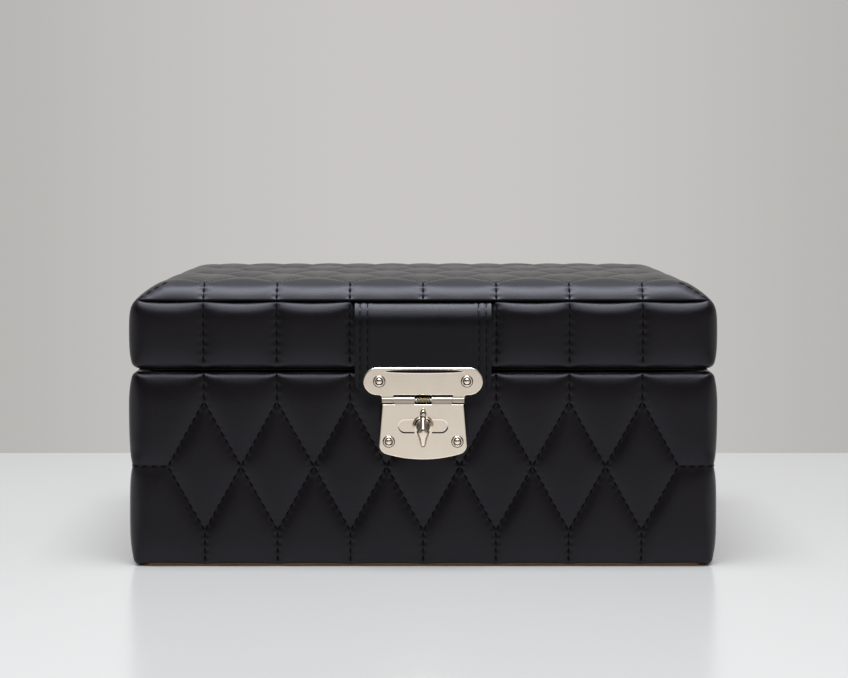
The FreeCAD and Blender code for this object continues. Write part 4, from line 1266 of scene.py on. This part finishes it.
def knob_leaf():
    """The knob's upright leaf: pointed at both ends and fullest just under its middle."""
    bm = bmesh.new()
    bmesh.ops.create_uvsphere(bm, u_segments=28, v_segments=56, radius=1.0)
    for vert in bm.verts:
        x, y, share = vert.co
        ring = math.sqrt(max(1 - share * share, 1e-6))
        x, y = x / ring, y / ring
        wide = leaf_half_width(share)
        deep = LEAF_SWELL * (1 - share ** 2) ** 0.6 + LEAF_EDGE
        if share > 0:
            deep = max(LEAF_ROOT - LEAF_TAPER * share, LEAF_THIN)
        tip = min(1.0, (1 - abs(share)) / LEAF_TIP)
        vert.co = Vector((x * wide, y * deep * tip ** 0.5, share * LEAF_HALF))
    place = (0, KNOB_FOOT - LEAF_OUT, KNOB_HEIGHT - LEAF_DROP)
    bmesh.ops.translate(bm, vec=place, verts=bm.verts)
    return bm


def make_boss():
    """Oval dish round the knob, with a thin lip and a turned ring in its middle."""
    low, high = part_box("knob_boss")
    low, high = low * 1000, high * 1000
    bm = block(
        (low.x, PLATE_FRONT - DISH_FRONT, KNOB_HEIGHT - DISH_HALF),
        (high.x, PLATE_FRONT + DISH_BACK, KNOB_HEIGHT + DISH_HALF),
    )
    ends = [e for e in bm.edges if along(e, 1)]
    round_edges(bm, ends, radius=DISH_HALF - 0.05, segments=10)
    face = [f for f in bm.faces if f.normal.y < -0.9]
    for width, depth in DISH_STEPS:
        bmesh.ops.inset_region(bm, faces=face, thickness=width, depth=depth, use_even_offset=True)
    ring = turned(DISH_RING, (0, PLATE_FRONT, KNOB_HEIGHT), (0, -1, 0), steps=48)
    make_piece("knob_dish", join([bm, ring]), PALE_GOLD, "hasp", ["knob_boss"], sharp=10)


def lens(half_wide, half_deep, half_high):
    """A long thin lens lying on the latch plate, under its upper edge."""
    bm = bmesh.new()
    bmesh.ops.create_uvsphere(bm, u_segments=64, v_segments=16, radius=1.0)
    bmesh.ops.scale(bm, vec=(half_wide, half_deep, half_high), verts=bm.verts)
    bmesh.ops.translate(bm, vec=(LENS_RIGHT, PLATE_FRONT, LENS_HEIGHT), verts=bm.verts)
    return bm


def make_latch_lens():
    """A dark leather lens laid on the latch plate under its upper edge, painted shade standing in
    for a slot, and the turned gold lip round it.
    """
    lip = lens(half_wide=18.2, half_deep=0.1, half_high=1.15)
    make_piece("lens_lip", lip, PALE_GOLD, "lid", slot="pale_gold")
    # painted shade: a dark sheet lying on the plate, not an opening
    slot = lens(half_wide=17.5, half_deep=0.15, half_high=0.82)
    make_piece("plate_shade_lens", slot, EDGE_LEATHER, "lid", slot="flap_leather")


def knob_painted_shade(x, z):
    """Painted shade down the flanks of the knob's leaf and in the groove round its dome."""
    share = (z - KNOB_HEIGHT + LEAF_DROP) / LEAF_HALF
    side = abs(x) / leaf_half_width(share)
    if abs(share) < 1 and side < LEAF_REACH:
        return FLANK_PAINTED_SHADE * ease((side - FLANK_FROM) / FLANK_RUN)
    near, far = DOME_GROOVE
    return DOME_PAINTED_SHADE if near < math.hypot(x, z - KNOB_HEIGHT) < far else 0.0


def make_knob():
    """Turn knob: a domed collar and its upright leaf."""
    collar = turned(COLLAR_PROFILE, (0, KNOB_FOOT, KNOB_HEIGHT), (0, -1, 0), steps=48)
    bm = join([collar, knob_leaf()])
    piece = make_piece("knob_leaf", bm, PALE_GOLD, "turn_knob", ["turn_knob"])
    write_painted_shade(piece, knob_painted_shade)


# Inside

def ring_plate(half_x, half_y, width, low, high, radius, segments=3):
    """A flat rectangular ring with softened edges."""
    bm = bmesh.new()
    bmesh.ops.create_grid(bm, x_segments=1, y_segments=1, size=1.0)
    bmesh.ops.scale(bm, vec=(half_x, half_y, 1), verts=bm.verts)
    bmesh.ops.translate(bm, vec=(0, 0, high), verts=bm.verts)
    inner = bm.faces[:]
    bmesh.ops.inset_region(
        bm, faces=inner, thickness=width, use_boundary=True, use_even_offset=True
    )
    bmesh.ops.delete(bm, geom=inner, context="FACES_ONLY")
    made = bmesh.ops.extrude_face_region(bm, geom=bm.faces[:], use_keep_orig=True)["geom"]
    bmesh.ops.translate(bm, vec=(0, 0, low - high), verts=list(filter(is_vert, made)))
    bmesh.ops.recalc_face_normals(bm, faces=bm.faces)
    round_edges(bm, [e for e in bm.edges if e.calc_face_angle(0) > 1], radius, segments)
    return bm


def make_rims():
    """Leather turned over the base's rim and the lid's foot, as far as the lining."""
    turned_leather = {"material": EDGE_LEATHER, "slot": "quilted_leather", "flat": True}
    rim = ring_plate(RIM_X, RIM_Y, width=9.3, low=86.3, high=87.0, radius=0.25)
    make_piece("base_rim_leather", rim, body="base", **turned_leather)
    foot = ring_plate(RIM_X, RIM_Y, width=8.7, low=88.0, high=88.7, radius=0.25)
    turn = ring_plate(TURN_X, TURN_Y, width=0.5, low=88.1, high=93.4, radius=0.15, segments=2)
    lip = ring_plate(LIP_X, LIP_Y, width=2.5, low=78.0, high=92.3, radius=0.7)
    make_piece("lip_binding", lip, body="base", **turned_leather)
    make_piece("lid_rim_leather", join([foot, turn]), body="lid", **turned_leather)


LINING_BOARDS = {
    "base": (
        "floor_lining", "front_lining", "back_lining", "left_lining", "right_lining",
        "long_divider", "ring_divider", "front_divider_left", "front_divider_right",
    ),
    "lid": ("lid_front_lining", "lid_back_lining", "lid_left_lining", "lid_right_lining"),
}


def make_lining():
    """Suede drawn over thin boards, with its edges turned."""
    for body, nodes in LINING_BOARDS.items():
        for node in nodes:
            bm = node_block(node)
            round_edges(bm, bm.edges[:], radius=0.8, segments=3)
            make_piece("suede_" + node, bm, LINING, body, [node], flat=True)


def make_underlay():
    """Suede-faced card under the case."""
    bm = node_block("underlay")
    round_edges(bm, [e for e in bm.edges if along(e, 2)], radius=7.0, segments=8)
    rim = [e for e in bm.edges if not along(e, 2) and e.calc_face_angle(0) > 1]
    round_edges(bm, rim, radius=0.4, segments=2)
    make_piece("foot_suede", bm, FOOT_SUEDE, "base", ["underlay"], flat=True)


def make_ring_section():
    """Foam bed and three soft rolls that hold rings between them."""
    bm = node_block("ring_bed")
    round_edges(bm, bm.edges[:], radius=2.0, segments=4)
    make_piece("ring_bed_suede", bm, PAD_SUEDE, "base", ["ring_bed"], fill=0.9, flat=True)
    for number in (1, 2, 3):
        node = f"ring_roll_{number}"
        bm = node_block(node)
        top = max(v.co.z for v in bm.verts)
        crest = [e for e in bm.edges if along(e, 0) and e.verts[0].co.z > top - TOUCHING]
        round_edges(bm, crest, radius=9.5, segments=9)
        split_runs(bm, 0, shortest=20, longest=400, cuts=47)
        ends = [e for e in bm.edges if e.calc_face_angle(0) > 1]
        round_edges(bm, ends, radius=1.6, segments=3)
        low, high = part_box(node)
        middle = (low.x + high.x) * 500
        half = (high.x - low.x) * 500
        for vert in bm.verts:
            share = (vert.co.x - middle) / half
            wave = ROLL_WAVE * math.sin(vert.co.x * ROLL_RATE + number)
            sag = ROLL_SAG * (1 - abs(share) ** 3) + wave
            if vert.co.z > ROLL_MIDDLE:
                vert.co.z += sag - ROLL_SAG
        make_piece(f"ring_roll_suede_{number}", bm, PAD_SUEDE, "base", [node], sharp=50, fill=0.85)


def make_mirror_frame():
    """Padded suede border round the mirror."""
    bm = ring_plate(MIRROR_X, MIRROR_Y, width=18.0, low=109.0, high=113.0, radius=1.8, segments=5)
    make_piece("mirror_border", bm, LINING, "lid", ["mirror_frame"], fill=0.7, flat=True)


# Stage

def make_stage():
    """A pale table top that ends a little behind the case."""
    bm = block((-TABLE_HALF, TABLE_FRONT, -TABLE_THICK), (TABLE_HALF, TABLE_BACK, 0))
    bm.transform(TO_METRES)
    mesh = mesh_of(bm, "table")
    bm.free()
    table = put("table", mesh)
    finish = Finish("pale table")
    finish.set(Specular_IOR_Level=0.48)
    cloud = finish.cloud(scale=2.0, detail=2.0, rough=0.5)
    finish.tint(cloud, *TABLE_COLOURS)
    finish.feed(spread(finish.tree, cloud, 0.3, 0.7, to_low=0.18, to_high=0.22), "Roughness")
    mesh.materials.append(finish.material)


def make_lamp(name, place, size, power, colour):
    """A wide soft lamp that shines straight down."""
    lamp = bpy.data.lights.new(name, "AREA")
    lamp.shape = "RECTANGLE"
    lamp.size, lamp.size_y = size
    lamp.energy = power
    lamp.color = colour
    put(name, lamp).location = place


def make_light():
    """A grey wall, a dim room with a light patch to the right, a bright ceiling and two lamps."""
    world = bpy.data.worlds.new("studio")
    bpy.context.scene.world = world
    world.use_nodes = True
    tree = world.node_tree
    where = add_node(tree, "ShaderNodeTexCoord").outputs["Generated"]
    axes = add_node(tree, "ShaderNodeSeparateXYZ", {"Vector": where}).outputs
    beside = maths(tree, "ABSOLUTE", maths(tree, "SUBTRACT", axes["X"], ROOM_MIDDLE))
    above = spread(tree, axes["Z"], *ROOM_HEIGHTS)
    beyond = maths(tree, "MAXIMUM", spread(tree, beside, *ROOM_SIDES), above)
    room = two_colours(tree, beyond, ROOM_LIGHT, ROOM_DARK)
    aside = maths(tree, "MULTIPLY", maths(tree, "POWER", axes["X"], 2.0), WALL_FADE)
    wall = two_colours(tree, maths(tree, "SMOOTH_MIN", aside, 1.0, 0.3), GREY_WALL, GREY_WALL_SIDE)
    seen = two_colours(tree, spread(tree, axes["Y"], *WALL_FROM), room, wall)
    seen = two_colours(tree, spread(tree, axes["Z"], *CEILING_FROM), seen, CEILING)
    path = add_node(tree, "ShaderNodeLightPath").outputs
    shown = maths(tree, "MAXIMUM", path["Is Camera Ray"], path["Is Glossy Ray"])
    shown = maths(tree, "MAXIMUM", shown, path["Is Transmission Ray"])
    colour = two_colours(tree, shown, AMBIENT, seen)
    tree.links.new(colour, tree.nodes["Background"].inputs["Color"])
    make_lamp("overhead", **OVERHEAD_LAMP)
    make_lamp("front", **FRONT_LAMP)


def make_camera():
    """The camera, fitted to the photo."""
    camera = bpy.data.cameras.new("camera")
    camera.sensor_fit = "HORIZONTAL"
    camera.sensor_width = 36.0
    camera.lens = CAMERA_LENS
    holder = put("camera", camera)
    holder.location = CAMERA_PLACE
    holder.rotation_euler = (math.radians(90 - CAMERA_TILT), 0, 0)
    bpy.context.scene.camera = holder


make_camera()
make_stage()
make_light()
make_wrap()
make_band()
make_pad()
make_flap()
make_rivets("latch_rivet_heads", LATCH_RIVETS, "lid", "latch_rivets")
make_rivets("hasp_rivet_heads", HASP_RIVETS, "hasp", "hasp_rivets")
make_boss()
make_latch_lens()
make_knob()
make_rims()
make_lining()
make_underlay()
make_ring_section()
make_mirror_frame()

bpy.context.scene.view_settings.view_transform = "Standard"
